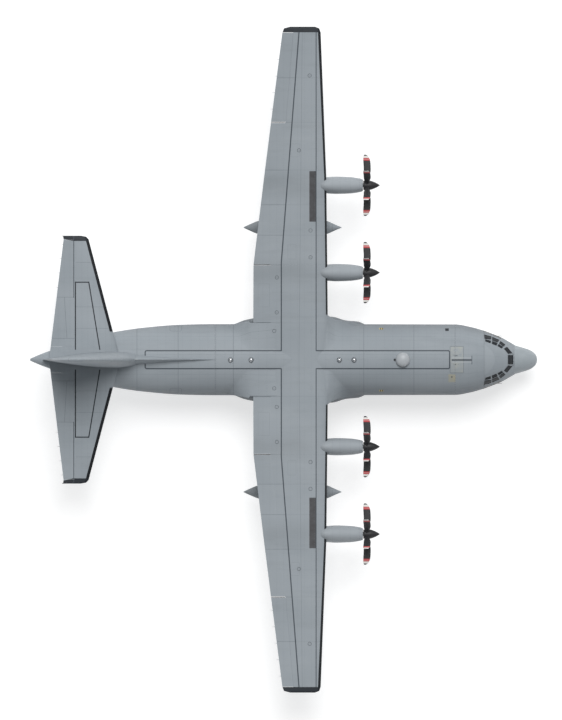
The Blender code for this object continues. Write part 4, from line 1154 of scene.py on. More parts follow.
def makeWings():
    seat, run, seal, tight = gaps["seat"], gaps["run"], gaps["seal"], gaps["tight"]
    rows, hinge = wing["rows"], wing["hinge"]
    centre = piece("wing_centre_skin", wingBody(-wing["joint"], wing["joint"]))
    rib, slit = (wing["flapOuter"] + wing["aileronInner"]) / 2, wing["slit"]
    for side, label in ((1, "left"), (-1, "right")):
        place = wingPlace(side)
        outer = skinBetween("wing_outer_skin_" + label, rows, wing["joint"] + seat, wing["tip"], place)
        cut(centre, cove(rows, hinge, wing["flapInner"] - run, wing["joint"] + 0.1, place, seat))
        cut(outer, cove(rows, hinge, wing["joint"] - 0.1, rib, place, seat))
        cut(outer, cove(rows, hinge, rib - 0.01, wing["aileronOuter"] + run, place, run))
        for made, low, high, under in ((outer, wing["flapOuter"] + 2 * seal,
                                        wing["aileronInner"] + run - seal, 0.0),
                                       (outer, wing["joint"] + seat, wing["joint"] + slit - tight, 1.0),
                                       (centre, wing["joint"] - slit + seal, wing["joint"] - seat, 1.0)):
            plate = loft([foilRing(rows, span, place, -0.004, under) for span in (low, high)])
            cut(made, plate, "UNION")
        dress(outer, "airframe", "wing", "grey_skin", "wing_outer_" + label)
        for kind, low, high in (("flap_inner_", wing["flapInner"], wing["joint"] - slit),
                                ("flap_outer_", wing["joint"] + slit, wing["flapOuter"]),
                                ("aileron_", wing["aileronInner"] + run, wing["aileronOuter"])):
            moving = surface(kind + "skin_" + label, rows, hinge, low, high, place)
            dress(moving, kind + label, "wing", "grey_composite", kind + label)
    dress(centre, "airframe", "wing", "grey_skin", "wing_centre")


finRidge = {  # station, half width, height
    "rows": ((-9.90, 0.34, 5.92), (-8.70, 0.30, 5.66), (-6.80, 0.17, 5.32), (-5.20, 0.08, 5.08),
             (-4.10, 0.03, 4.93)),
    "foot": 4.60,
}


def makeTail():
    run, tight = gaps["run"], gaps["tight"]
    rows, hinge = tailplane["rows"], ((0.0, tailplane["hinge"]), (8.0, tailplane["hinge"]))
    spans = spanStops(rows, 0.0, rows[-1][0])
    rings = [foilRing(rows, abs(span), tailPlace(1 if span >= 0 else -1))
             for span in [-s for s in reversed(spans)] + spans[1:]]
    plane = piece("tailplane_skin", loft(rings))
    cut(plane, hullBody(hull["rear"], -9.0, -gaps["seat"]))
    for side, label in ((1, "left"), (-1, "right")):
        place = tailPlace(side)
        inner, outer = tailplane["elevatorInner"], tailplane["elevatorOuter"]
        cut(plane, cove(rows, hinge, inner - run, outer + run, place, run))
        for low, high in ((inner - 2 * run, inner - tight), (outer + tight, outer + 2 * run)):
            cut(plane, loft([foilRing(rows, span, place, -0.002) for span in (low, high)]), "UNION")
        moving = surface("elevator_skin_" + label, rows, hinge, inner, outer, place)
        dress(moving, "elevator_" + label, "tail", "grey_composite", "elevator_" + label)
    dress(plane, "airframe", "tail", "grey_skin", "tailplane")

    rows, hinge = fin["rows"], fin["hinge"]
    made = skinBetween("fin_skin", rows, rows[0][0], rows[-1][0], finPlace)
    ridge = []
    for i in range(30):
        x = -4.10 - 5.80 * i / 29
        half, top = flowing(finRidge["rows"], x)
        foot = finRidge["foot"]
        ridge.append([(x, side * half * (1 - rise ** 1.6), foot + (top - foot) * rise)
                      for side, rise in [(1, n / 8) for n in range(9)]
                      + [(-1, n / 8) for n in range(7, -1, -1)]])
    cut(made, loft(ridge), "UNION")
    cut(made, hullBody(hull["rear"], -3.9, -gaps["seat"]))
    cut(made, cove(rows, hinge, fin["rudderFoot"] - run, fin["rudderHead"] + run, finPlace, run))
    dress(made, "airframe", "fin", "grey_skin", "fin")
    moving = surface("rudder_skin", rows, hinge, fin["rudderFoot"], fin["rudderHead"], finPlace)
    dress(moving, "rudder", "fin", "grey_composite", "rudder")


makeWings()
makeTail()
print("wings and tail made")


# Engines, propellers and tanks

engineDetail = {
    "steps": 64,
    "power": 2.4,
    "stepAlong": 0.06,
    "crown": ((4.81, 0.36), (4.60, 0.43), (4.00, 0.62), (3.20, 0.94), (2.75, 1.09), (2.45, 1.12),
              (2.28, 1.06),
              (2.15, 0.99), (1.20, 0.94), (0.20, 0.70), (-0.30, 0.50)),  # station, top from the shaft
    "outerDrop": 0.07,
    "room": (2.90, 4.55, 0.32, -0.42, 0.27),
    "shaftHole": 0.20,
    "intake": (0.23, -0.575, -0.335),
    "exhaust": ((1.95, -0.30), (1.45, -0.34), (1.02, -0.40)),
    "exhaustRadius": 0.19,
    "bladePoints": 20,
}


def nacelleRing(x, y, hub, inset=0.0):
    half, bottom = flowing(engine["rows"], x)
    top = flowing(engineDetail["crown"], x)[0]
    if abs(y) > 8:  # the wing is thinner at the outer engines
        top -= engineDetail["outerDrop"] * min(1.0, max(0.0, (4.2 - x) / 1.2))
    return ovalRing(x, y, half - inset, hub + bottom + inset, hub + top - inset, hub + (bottom + top) / 2,
                    engineDetail["steps"], engineDetail["power"])


def bladeRing(radius, turn, hub):
    chord, thickness, sweep = flowing(engine["bladeRows"], radius)
    out = Vector((0, math.cos(turn), math.sin(turn)))
    across = Vector((0, -math.sin(turn), math.cos(turn)))
    middle = Vector((engine["bladePlane"] + sweep, 0, 0)) + out * radius + Vector(hub)
    ring = []
    for t in around(engineDetail["bladePoints"]):
        u = 0.5 * math.cos(t)
        v = 0.5 * math.sin(t) * (0.82 + 0.36 * u)
        ring.append(middle + Vector((chord * u, 0, 0)) + across * thickness * v)
    return ring


def makeEngine(number, y):
    hub = hubOf(y)
    front, rear = engine["rows"][0][0], engine["rows"][-1][0]
    count = int((front - rear) / engineDetail["stepAlong"])
    rings = [nacelleRing(front, y, hub, 0.035), nacelleRing(front - 0.006, y, hub, 0.015)]
    rings += [nacelleRing(front - 0.03 - (front - 0.03 - rear) * i / count, y, hub) for i in range(count + 1)]
    shell = piece("nacelle_skin_%d" % number, loft(rings))
    back, ahead, half, bottom, top = engineDetail["room"]
    room = piece("room", loft([nacelleRing(x, y, hub, 0.04) for x in (back, 3.2, 3.5, 3.8, 4.1, 4.4, ahead)]))
    cut(room, block(back + 0.01, ahead, y - half, y + half, hub + bottom, hub + top), "INTERSECT")
    cut(shell, regained(room))
    cut(shell, turned("x", (y, hub), ((4.4, engineDetail["shaftHole"]), (4.9, engineDetail["shaftHole"]))))
    half, bottom, top = engineDetail["intake"]
    scoop = [ovalRing(x, y, half * grow, hub + bottom + drop, hub + top, hub + (bottom + top) / 2, 40, 2.8)
             for x, grow, drop in ((3.9, 0.7, 0.06), (4.4, 0.85, 0.02), (4.72, 0.95, 0.0),
                                   (4.9, 1.06, -0.02))]
    cut(shell, loft(scoop))
    cut(shell, wingBody(*sorted((y - 1.5, y + 1.5)), gaps["seat"]))
    dress(shell, "airframe", "nacelle", "grey_skin", "nacelle_%d" % number)

    radius = engineDetail["exhaustRadius"]
    pipe = [(x, hub + z) for x, z in engineDetail["exhaust"]]
    outer = [ovalRing(x, y, radius, z - radius, z + radius * 0.8, z, 40) for x, z in pipe]
    inner = [ovalRing(x, y, radius - 0.02, z - radius + 0.02, z + radius * 0.8 - 0.02, z, 40)
             for x, z in (pipe[2], pipe[1])]
    made = piece("exhaust_%d" % number, loft(outer + inner, True))
    dress(made, "airframe", "burnt", "engine_metal")


def makePropeller(number, y):
    hub = hubOf(y)
    profile = [(x, radius) for x, radius in engine["spinner"][:2]]
    nose = [(row[0], row[1]) for row in engine["spinner"]]
    start, end = nose[1][0], nose[-1][0]
    profile += [(start + (end - start) * i / 24, flowing(nose, start + (end - start) * i / 24)[0])
                for i in range(1, 25)]
    made = piece("propeller_blades_%d" % number, turned("x", (y, hub), profile, 64))
    reach = engine["radius"]
    stops = [0.16 + (reach - 0.16) * i / 18 for i in range(18)] + [reach - 0.03, reach - 0.01, reach]
    for turn in around(engine["blades"]):
        out = Vector((0, math.cos(turn), math.sin(turn)))
        cut(made, loft([bladeRing(radius, turn, (0, y, hub)) for radius in stops]), "UNION")
        foot = Vector((engine["bladePlane"], y, hub))
        cut(made, rod(foot + out * 0.2, foot + out * 0.36, 0.105, 32, 0.085), "UNION")
    dress(made, "propeller_%d" % number, "propeller", "propeller_black", "propeller_%d" % number)


def makeTanks():
    rows = tank["rows"]
    low, high = rows[-1][0], rows[0][0]
    profile = [(x, flowing(rows, x)[0]) for x in (high - (high - low) * i / 80 for i in range(81))]
    for side, label in ((1, "left"), (-1, "right")):
        y = side * tank["y"]
        made = piece("fuel_tank_skin_" + label, turned("x", (y, tank["height"]), profile, 64))
        edge = [(1.90 - 2.08 * (1 - math.cos(math.pi * i / 16)) / 2,
                 0.085 * math.sin(math.pi * i / 16) ** 0.6)
                for i in range(17)]
        outline = [(x, y + v) for x, v in edge] + [(x, y - v) for x, v in reversed(edge[1:-1])]
        cut(made, prism("z", tank["height"] + 0.30, wingPlane(y), outline), "UNION")
        cut(made, wingBody(*sorted((y - 1.5, y + 1.5)), gaps["seat"]))
        dress(made, "airframe", "tank", "grey_skin", "fuel_tank_" + label)


for number, y in enumerate(engine["y"], start=1):
    makeEngine(number, y)
    makePropeller(number, y)
makeTanks()
print("engines, propellers and tanks made")


# Small solids that keep their shape: the satcom dome, the inside and the engines

dome = {  # height, radius
    "profile": ((4.80, 0.44), (5.00, 0.432), (5.06, 0.42), (5.12, 0.385), (5.17, 0.33), (5.21, 0.25),
                (5.235, 0.16), (5.248, 0.08), (5.25, 0.01)),
    "centre": (7.23, 0),
}


def makeDome():
    made = piece("satcom_dome_shell", turned("z", dome["centre"], dome["profile"], 64))
    cut(made, hullBody(6.0, 8.5, -gaps["seat"]))
    dress(made, "airframe", "dome", "dome_grey", "satcom_dome")


makeDome()
for name, finish in (("flight_deck", "deck"), ("cargo_floor", "floor"), ("nose_gear_bay", "lining"),
                     ("engine_1", "engine"), ("engine_2", "engine"), ("engine_3", "engine"),
                     ("engine_4", "engine")):
    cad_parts[name].data.materials.clear()
    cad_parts[name].data.materials.append(paints[finish])
print("dome and inside finished")


# Repeats: Geometry Nodes place the copies, then the result is kept as one plain mesh

def nodeIn(tree, kind, inputs=None, **settings):
    made = tree.nodes.new(kind)
    for name, value in settings.items():
        setattr(made, name, value)
    for key, value in (inputs or {}).items():
        if isinstance(value, bpy.types.NodeSocket):
            tree.links.new(value, made.inputs[key])
        else:
            made.inputs[key].default_value = value
    return made


def treeOf(name, sockets):
    tree = bpy.data.node_groups.new(name, "GeometryNodeTree")
    tree.interface.new_socket("Geometry", in_out="OUTPUT", socket_type="NodeSocketGeometry")
    for label, kind in (("Geometry", "Geometry"),) + sockets:
        tree.interface.new_socket(label, in_out="INPUT", socket_type="NodeSocket" + kind)
    return tree, nodeIn(tree, "NodeGroupInput").outputs


def finished(tree, given, placed):  # real geometry with its material at the tree's end
    real = nodeIn(tree, "GeometryNodeRealizeInstances", {0: placed.outputs[0]})
    coated = nodeIn(tree, "GeometryNodeSetMaterial",
                    {"Geometry": real.outputs[0], "Material": given["Finish"]})
    nodeIn(tree, "NodeGroupOutput", {0: coated.outputs[0]})
    return tree


def repeatTree():  # copies of a small mesh along a line, each one turned a step further
    tree, given = treeOf("repeat", (("Count", "Int"), ("Start", "Vector"), ("Step", "Vector"),
                                    ("Turn", "Vector"),
                                    ("Scatter", "Float"), ("Seed", "Int"), ("Finish", "Material")))
    line = nodeIn(tree, "GeometryNodeMeshLine", {"Count": given["Count"], "Start Location": given["Start"],
                                                 "Offset": given["Step"]}, mode="OFFSET")
    index = nodeIn(tree, "GeometryNodeInputIndex")
    angle = nodeIn(tree, "ShaderNodeVectorMath", {"Vector": given["Turn"], "Scale": index.outputs[0]},
                   operation="SCALE")
    turn = nodeIn(tree, "FunctionNodeEulerToRotation", {0: angle.outputs[0]})
    low = nodeIn(tree, "ShaderNodeMath", {0: 1.0, 1: given["Scatter"]}, operation="SUBTRACT")
    size = nodeIn(tree, "FunctionNodeRandomValue", {"Seed": given["Seed"]}, data_type="FLOAT")
    tree.links.new(low.outputs[0], size.inputs[2])
    size.inputs[3].default_value = 1.0
    placed = nodeIn(tree, "GeometryNodeInstanceOnPoints",
                    {"Points": line.outputs[0], "Instance": given["Geometry"], "Rotation": turn.outputs[0],
                     "Scale": size.outputs[1]})
    return finished(tree, given, placed)


def rivetTree():  # a low cap at every step of the lines drawn on the skin
    tree, given = treeOf("rivetRows", (("Pitch", "Float"), ("Size", "Float"), ("Seed", "Int"),
                                       ("Finish", "Material")))
    curve = nodeIn(tree, "GeometryNodeMeshToCurve", {"Mesh": given["Geometry"]})
    marks = nodeIn(tree, "GeometryNodeResampleCurve", {"Curve": curve.outputs[0], "Length": given["Pitch"]},
                   mode="LENGTH")
    cap = nodeIn(tree, "GeometryNodeMeshIcoSphere", {"Radius": given["Size"], "Subdivisions": 1})
    size = nodeIn(tree, "FunctionNodeRandomValue", {"Seed": given["Seed"]}, data_type="FLOAT")
    size.inputs[2].default_value = 0.9
    size.inputs[3].default_value = 1.0
    placed = nodeIn(tree, "GeometryNodeInstanceOnPoints",
                    {"Points": marks.outputs[0], "Instance": cap.outputs[0], "Scale": size.outputs[1]})
    return finished(tree, given, placed)


trees = {"repeat": repeatTree(), "rivets": rivetTree()}


def grown(made, tree, finish, **values):
    change = made.modifiers.new("nodes", "NODES")
    change.node_group = trees[tree]
    values["Finish"] = paints[finish]
    for socket in trees[tree].interface.items_tree:
        if socket.in_out == "INPUT" and socket.name in values:
            change[socket.identifier] = values[socket.name]
    return settle(made)


def repeated(name, bm, finish, count, start, step=(0, 0, 0), turn=(0, 0, 0), scatter=0.0, seed=1):
    made = piece(name, bm)
    return grown(made, "repeat", finish, Count=count, Start=[v * modelScale for v in start],
                 Step=[v * modelScale for v in step], Turn=turn, Scatter=scatter, Seed=seed)


def riveted(name, lines, finish, pitch, size, seed=1):
    bm = bmesh.new()
    for line in lines:
        spots = [bm.verts.new(point) for point in line]
        for a, b in zip(spots, spots[1:]):
            bm.edges.new((a, b))
    return grown(piece(name, bm), "rivets", finish, Pitch=pitch * modelScale, Size=size * modelScale,
                 Seed=seed)


# Landing gear

wheels = {
    "main": {"radius": 0.71, "width": 0.51, "rim": 0.30, "hub": 0.20, "axle": 0.075,
             "grooves": (-0.135, -0.05, 0.05, 0.135), "bolts": 16, "holes": 10},
    "nose": {"radius": 0.495, "width": 0.33, "rim": 0.20, "hub": 0.13, "axle": 0.055,
             "grooves": (-0.07, 0.0, 0.07), "bolts": 12, "holes": 8},
    "steps": 72,
    "groove": (0.022, 0.016),
    "wall": (  # height and width of the tyre's wall, as shares
        (0.90, 0.86), (0.80, 0.965), (0.68, 1.0), (0.55, 0.995), (0.42, 0.965), (0.40, 0.985), (0.36, 0.985),
        (0.34, 0.95), (0.22, 0.90), (0.10, 0.835), (0.04, 0.80), (0.002, 0.80)),
}
gear = {
    "mainX": (1.71, 0.19),
    "mainY": 2.175,
    "legY": 1.79,
    "beam": (0.07, 1.83, 0.60, 0.82),
    "noseX": 12.20,
    "noseY": 0.27,
    "strut": ((1.05, 0.06), (1.05, 0.078), (1.11, 0.078), (1.12, 0.070), (1.36, 0.070), (1.37, 0.076),
              (1.41, 0.076), (1.42, 0.070), (1.499, 0.070)),  # height, radius, as in the next ones
    "foot": ((0.78, 0.078), (0.88, 0.078), (0.90, 0.062)),
    "piston": ((0.86, 0.052), (1.08, 0.052)),
    "noseLeg": ((1.16, 0.08), (1.16, 0.11), (1.22, 0.11), (1.23, 0.098), (1.40, 0.098), (1.41, 0.108),
                (1.46, 0.108), (1.47, 0.098), (1.655, 0.098)),
    "collar": ((1.03, 0.066), (1.03, 0.11), (1.08, 0.11), (1.09, 0.10), (1.13, 0.10), (1.14, 0.11)),
    "housing": ((0.42, 0.03), (0.43, 0.07), (0.56, 0.084), (0.60, 0.075), (0.61, 0.06)),
    "nosePiston": ((0.58, 0.062), (1.06, 0.062)),
    "linkRadii": (0.022, 0.016),
    "pipeRadius": 0.011,
    "ribs": 7,
    "door": ((2.505, 0.6729), (2.545, 0.6964), (2.60, 0.28), (2.56, 0.27)),
    "doorEnds": (-0.61, 2.51),
}


def makeWheel(kind, x, y, body, tyreNode, hubNode):
    look, side = wheels[kind], 1 if y > 0 else -1
    radius, half, rim, steps = look["radius"], look["width"] / 2, look["rim"], wheels["steps"]
    wide, deep = wheels["groove"]
    tread = []
    for at in look["grooves"]:
        crown = radius - 0.018 * (at / (0.72 * half)) ** 2
        tread += [(at - wide / 2, crown), (at - wide / 2 + 0.003, crown - deep),
                  (at + wide / 2 - 0.003, crown - deep), (at + wide / 2, crown)]
    wall = [(half * share, rim + (radius - rim) * rise) for rise, share in wheels["wall"]]
    shoulder = [(0.72 * half, radius - 0.02)]
    profile = [(-u, v) for u, v in reversed(wall)] + [(-u, v) for u, v in shoulder] + tread + shoulder + wall
    made = piece(tyreNode + "_skin", turned("y", (x, radius), [(y + u, v) for u, v in profile], steps,
                                            closed=True))
    dress(made, body, "tyre", "tyre_rubber", tyreNode)

    hub, bore = look["hub"], look["axle"] + gaps["seat"]
    unit = hub / 0.20
    outer = rim - gaps["seat"]
    faces = ((-hub, bore), (-hub, bore + 0.03), (-hub + 0.04, bore + 0.03), (-hub + 0.04, 0.90 * outer),
             (-hub, 0.93 * outer), (-hub, outer), (hub, outer), (hub, 0.93 * outer),
             (hub - 0.012, 0.915 * outer),
             (hub - 0.03 * unit, 0.86 * outer), (hub - 0.055 * unit, 0.81 * outer),
             (hub - 0.085 * unit, 0.70 * outer), (hub - 0.075 * unit, 0.56 * outer),
             (hub - 0.05 * unit, bore + 0.03), (hub - 0.012, bore + 0.024), (hub - 0.012, bore))
    made = piece(hubNode + "_rim", turned("y", (x, radius), [(y + side * u, v) for u, v in faces], steps,
                                          True))
    low, high = sorted((y + side * (hub - 0.15 * unit), y + side * (hub + 0.01)))
    spots = [(x + 0.70 * outer * math.cos(t), radius + 0.70 * outer * math.sin(t))
             for t in around(look["holes"], 0.5)]
    cut(made, merged(*[turned("y", spot, ((low, 0.075 * outer), (high, 0.075 * outer)), 14)
                       for spot in spots]))
    dress(made, body, "wheel", "wheel_metal", hubNode)

    reach, face = 0.855 * outer, side * (hub - 0.04 * unit)
    head = rod((reach, face, 0), (reach, face + side * 0.024, 0), 0.045 * outer, 6)
    count = look["bolts"]
    made = repeated(hubNode + "_bolts", head, "steel", count, (x, y, radius),
                    turn=(0, 2 * math.pi / count, 0), scatter=0.03, seed=3)
    dress(made, body, "steel", "wheel_metal")


def makeMainGear():
    for side, label in ((1, "left"), (-1, "right")):
        for x, spot in zip(gear["mainX"], ("front", "rear")):
            name = "%s_%s" % (label, spot)
            makeWheel("main", x, side * gear["mainY"], "main_wheel_" + name, "main_tyre_" + name,
                      "main_hub_" + name)
        y, radius = side * gear["legY"], wheels["main"]["radius"]
        rear, front, low, high = gear["beam"]
        outline = softened([(y - 0.08, low), (y + 0.08, low), (y + 0.08, high), (y - 0.08, high)], 0.05)
        white = [prism("x", rear, front, outline)]
        chrome, brakes, pipes = [], [], []
        for x in gear["mainX"]:
            white += [turned("z", (x, y), gear[name], 32) for name in ("strut", "foot")]
            chrome.append(turned("z", (x, y), gear["piston"], 32))
            ends = sorted((y + side * 0.02, side * (gear["mainY"] + 0.168)))
            chrome.append(turned("y", (x, radius), ((ends[0], 0.0744), (ends[1], 0.0744)), 32))
            low, high = sorted((y + side * 0.10, y + side * 0.155))
            brakes.append(turned("y", (x, radius), (
                (low, 0.10), (low, 0.205), (low + 0.012, 0.205), (low + 0.014, 0.19), (high - 0.014, 0.19),
                (high - 0.012, 0.205), (high, 0.205), (high, 0.10)), 48))
            for lean in (-1, 1):  # the scissor links
                knee = (x + lean * 0.24, y, 1.0)
                for z in (0.86, 1.10):
                    wide, narrow = gear["linkRadii"]
                    white.append(rod((x + lean * 0.06, y, z), knee, wide, 10, narrow))
            inner = y - side * 0.095
            path = ((x - 0.1, inner, 0.80), (x - 0.1, inner, 0.98), (x - 0.02, inner, 1.10),
                    (x - 0.02, inner, 1.498))
            for a, b in zip(path, path[1:]):
                pipes.append(rod(a, b, gear["pipeRadius"], 8))
        middle = (gear["mainX"][0] + gear["mainX"][1]) / 2
        chrome.append(rod((middle, y + side * 0.07, 0.76), (middle, side * 2.506, 0.60), 0.016, 12))
        dress(joined(white), "airframe", "gear", "gear_white", "main_gear_legs_" + label)
        for shapes, finish in ((chrome, "chrome"), (brakes, "burnt"), (pipes, "black")):
            dress(joined(shapes), "airframe", finish, "gear_white")

        rear, front = gear["doorEnds"]
        made = piece("gear_door_skin_" + label,
                     prism("x", rear, front, [(side * u, v) for u, v in gear["door"]]))
        (topY, topZ), (footY, footZ) = gear["door"][0], gear["door"][3]
        ribs = []
        for i in range(gear["ribs"]):
            x = rear + 0.10 + (front - rear - 0.20) * i / (gear["ribs"] - 1)
            inward = [(topY + (footY - topY) * (topZ - z) / (topZ - footZ), z) for z in (0.63, 0.31)]
            shape = [(side * (u - 0.022), v) for u, v in inward]
            shape += [(side * (u + 0.01), v) for u, v in inward[::-1]]
            ribs.append(prism("x", x - 0.018, x + 0.018, shape))
        cut(made, merged(*ribs), "UNION")
        dress(made, "airframe", "door", "grey_skin", "main_gear_door_" + label)


def makeNoseGear():
    x, axle = gear["noseX"], wheels["nose"]["radius"]
    for side, label in ((1, "left"), (-1, "right")):
        makeWheel("nose", x, side * gear["noseY"], "nose_wheels", "nose_tyre_" + label, "nose_hub_" + label)
    white = [turned("z", (x, 0), gear["noseLeg"], 40)]
    for y in (-0.036, 0.036):
        white.append(rod((x - 0.06, y, 1.35), (x - 0.77, y, 1.60), 0.024, 12))
    for share in (0.3, 0.6, 0.9):
        at = (x - 0.06 - 0.71 * share, 1.35 + 0.25 * share)
        white.append(rod((at[0], -0.05, at[1]), (at[0], 0.05, at[1]), 0.018, 10))
    jacks, lamps = [], []
    for side in (1, -1):
        white.append(rod((x + 0.02, side * 0.15, 1.33), (x - 0.30, side * 0.15, 1.38), 0.036, 16))
        jacks.append(rod((x + 0.12, side * 0.14, 1.315), (x, side * 0.15, 1.335), 0.016, 12))
        jacks.append(rod((x + 0.06, side * 0.05, 1.32), (x + 0.12, side * 0.15, 1.315), 0.02, 12))
        white.append(rod((x + 0.10, side * 0.10, 1.54), (x + 0.20, side * 0.10, 1.53), 0.04, 24, 0.062))
        lamps.append(rod((x + 0.199, side * 0.10, 1.53), (x + 0.206, side * 0.10, 1.53), 0.057, 24))
    dress(joined(white), "airframe", "gear", "gear_white", "nose_gear_leg")
    dress(joined(jacks), "airframe", "chrome", "gear_white")
    dress(joined(lamps), "airframe", "clear", "window_glass")

    fork = [turned("z", (x, 0), gear["collar"] + ((gear["noseLeg"][0][0] - gaps["seat"], 0.11),), 40),
            turned("z", (x, 0), gear["housing"], 32)]
    fork += [rod((x - 0.06, y, z), (x - 0.27, y * 0.5, 0.83), 0.024, 12, 0.018)
             for y in (-0.05, 0.05) for z in (1.09, 0.58)]
    fork.append(rod((x - 0.27, -0.05, 0.83), (x - 0.27, 0.05, 0.83), 0.022, 12))
    dress(joined(fork), "nose_steering", "gear", "gear_white", "nose_fork")
    shaft = [turned("z", (x, 0), gear["nosePiston"], 32),
             turned("y", (x, axle), ((-0.405, 0.054), (0.405, 0.054)), 32)]
    shaft += [rod((x, side * 0.40, axle), (x, side * 0.419, axle), 0.042, 6) for side in (1, -1)]
    dress(joined(shaft), "nose_steering", "chrome", "gear_white")


makeMainGear()
makeNoseGear()
print("landing gear made")


# Fittings

fittings = {
    "balls": (-3.22, -1.97, 3.38, 4.27),
    "ballRadius": 0.125,
    "caps": ((1.58, 17.24), (1.63, 7.84), (1.63, 6.21), (-0.41, 4.99), (-0.42, 2.87), (-0.57, 1.74),
             (0.93, 12.7)),
    "capRadius": 0.115,
    "blades": (8.40, 6.10, -1.20, -3.40),
    "bladeHeight": 0.30,
    "rivetPitch": 0.15,
    "rivetSize": 0.011,
    "wingRibs": (2.60, 4.10, 7.55, 9.40, 11.50, 13.10, 17.10, 18.60),
    "tipLamp": (2.00, 20.06, 0.055),  # station, span, radius
    "bellyLamp": (3.0, 0.09),
    "finLamp": (-12.95, 0, 11.775, 0.06),
    "tailLamp": (-15.32, 0, 4.40, 0.05),
    "landingSpan": 16.0,
    "probe": (13.00, 1.72),
    "wiper": (13.96, 13.70, 0.42, 0.16),  # foot, tip, spread and sweep
    "wick": ((0.03, 0, 0), (-0.16, 0, -0.012), 0.009, 6, 0.005),
    "hoopStep": 0.61,
    "hoopStart": -2.85,
    "ringRadius": 0.05,
    "ringRows": (-1.25, -0.45, 0.45, 1.25),
}


def crownAt(x, y=0.0):
    half, _, crown, widest = flowing(hull["rows"], x)
    return widest + (crown - widest) * math.sqrt(1 - (y / half) ** 2)


def flankAt(x, z):
    half, belly, crown, widest = flowing(hull["rows"], x)
    if z >= widest:
        return half * math.sqrt(1 - ((z - widest) / (crown - widest)) ** 2)
    lift = ((widest - z) / (widest - belly)) ** (hull["bellyPower"] / 2)
    return half * math.sqrt(1 - lift * lift) ** (2.0 / hull["bellyPower"])


def ball(x, y, z, radius, steps=32):
    rows = [(z - radius * math.cos(math.pi * i / 14), max(radius * math.sin(math.pi * i / 14), 0.002))
            for i in range(15)]
    return turned("z", (x, y), rows, steps)


def airframePart(parts, finish, slot="grey_composite"):
    dress(joined(parts), "airframe", finish, slot)


def topAt(x, y):  # the highest skin under a point, and the way it faces
    hits = []
    for name in ("centre_skin", "wing_centre_skin", "wing_outer_skin_left", "wing_outer_skin_right"):
        found, spot, normal, _ = bpy.data.objects[name].ray_cast(Vector((x, y, 12)) * modelScale,
                                                                 Vector((0, 0, -1)))
        if found:
            hits.append((spot / modelScale, normal))
    return max(hits, key=lambda hit: hit[0].z)


def makeRoofParts():
    radius = fittings["ballRadius"]
    spots = [(x, crownAt(x)) for x in fittings["balls"]]
    airframePart([ball(x, -0.01, z + 0.08, radius) for x, z in spots], "fitting", "wheel_metal")
    bases = [turned("z", (x, -0.01), ((z - 0.03, 0.15), (z + 0.02, 0.15), (z + 0.03, 0.13)), 32)
             for x, z in spots]
    x, z = 6.74, crownAt(6.74)
    bases.append(turned("z", (x, 0), ((z - 0.03, 0.07), (z + 0.05, 0.065), (z + 0.10, 0.03)), 24))
    airframePart(bases, "rig")
    rings = []
    for side in (1, -1):
        for x, span in fittings["caps"]:
            wide = fittings["capRadius"]
            made = turned("z", (0, 0), ((-0.02, wide), (0.006, wide), (0.006, wide - 0.02),
                                        (-0.02, wide - 0.02)),
                          32, closed=True)
            spot, up = topAt(x, side * span)
            tilt = Matrix.Translation(spot) @ up.to_track_quat("Z", "X").to_matrix().to_4x4()
            bmesh.ops.transform(made, matrix=tilt, verts=made.verts)
            rings.append(made)
            for lean in (-0.035, 0.035):
                foot = spot + Vector((lean, 0, 0)) - up * (up.x * lean)
                rings.append(rod(foot - up * 0.01, foot + up * 0.008, 0.012, 8))
    airframePart(rings, "seal")


def makeAerials():
    blades = []
    for x in fittings["blades"]:
        z, tall = flowing(hull["rows"], x)[1] + 0.01, fittings["bladeHeight"]
        foot = [(x - 0.30 * stop, 0.035 * math.sin(math.pi * min(stop * 1.4, 1)) ** 0.8) for stop in
                (0.02, 0.08, 0.2, 0.4, 0.6)]
        rings = []
        for share in (0.0, 0.5, 0.9, 1.0):
            slim = 1 - 0.45 * share
            shape = [(x - 0.16 * share - (x - u) * slim, v * slim) for u, v in foot]
            tail = (x - 0.16 * share - 0.30 * slim, 0.0)
            loop = shape + [tail] + [(u, -v) for u, v in reversed(shape)]
            rings.append([(u, v, z - tall * share) for u, v in loop])
        blades.append(loft(rings))
    for side in (1, -1):  # the air data probes beside the nose
        x, z = fittings["probe"]
        y = side * (flankAt(x, z) - 0.01)
        blades.append(rod((x, y, z), (x + 0.02, y + side * 0.10, z - 0.01), 0.022, 12, 0.016))
        blades.append(rod((x - 0.04, y + side * 0.10, z - 0.01), (x + 0.26, y + side * 0.10, z - 0.01),
                          0.014, 12, 0.010))
        for share in (0.25, 0.75):  # the wipers
            low, high, spread, sweep = fittings["wiper"]
            foot = (low, side * share * spread)
            tip = (high, side * (share * spread + sweep))
            blades.append(rod((*foot, crownAt(*foot) + 0.012), (*tip, crownAt(*tip) + 0.016), 0.009, 8))
    airframePart(blades, "rig")


def makeLamps():
    x, span, radius = fittings["tipLamp"]
    for side, finish in ((1, "red"), (-1, "green")):
        airframePart([ball(x, side * span, wingPlane(span), radius)], finish, "window_glass")
    x, radius = fittings["bellyLamp"]
    airframePart([ball(x, 0, flowing(hull["rows"], x)[1], radius), ball(*fittings["finLamp"])], "red",
                 "window_glass")
    airframePart([ball(*fittings["tailLamp"])], "clear", "window_glass")
    lights = []
    span = fittings["landingSpan"]
    for side in (1, -1):
        x = between(wing["rows"], span)[0] - 0.06
        lights.append(rod((x, side * span, wingPlane(span) - 0.05),
                          (x + 0.04, side * span, wingPlane(span) - 0.05), 0.06, 24))
    airframePart(lights, "clear", "window_glass")


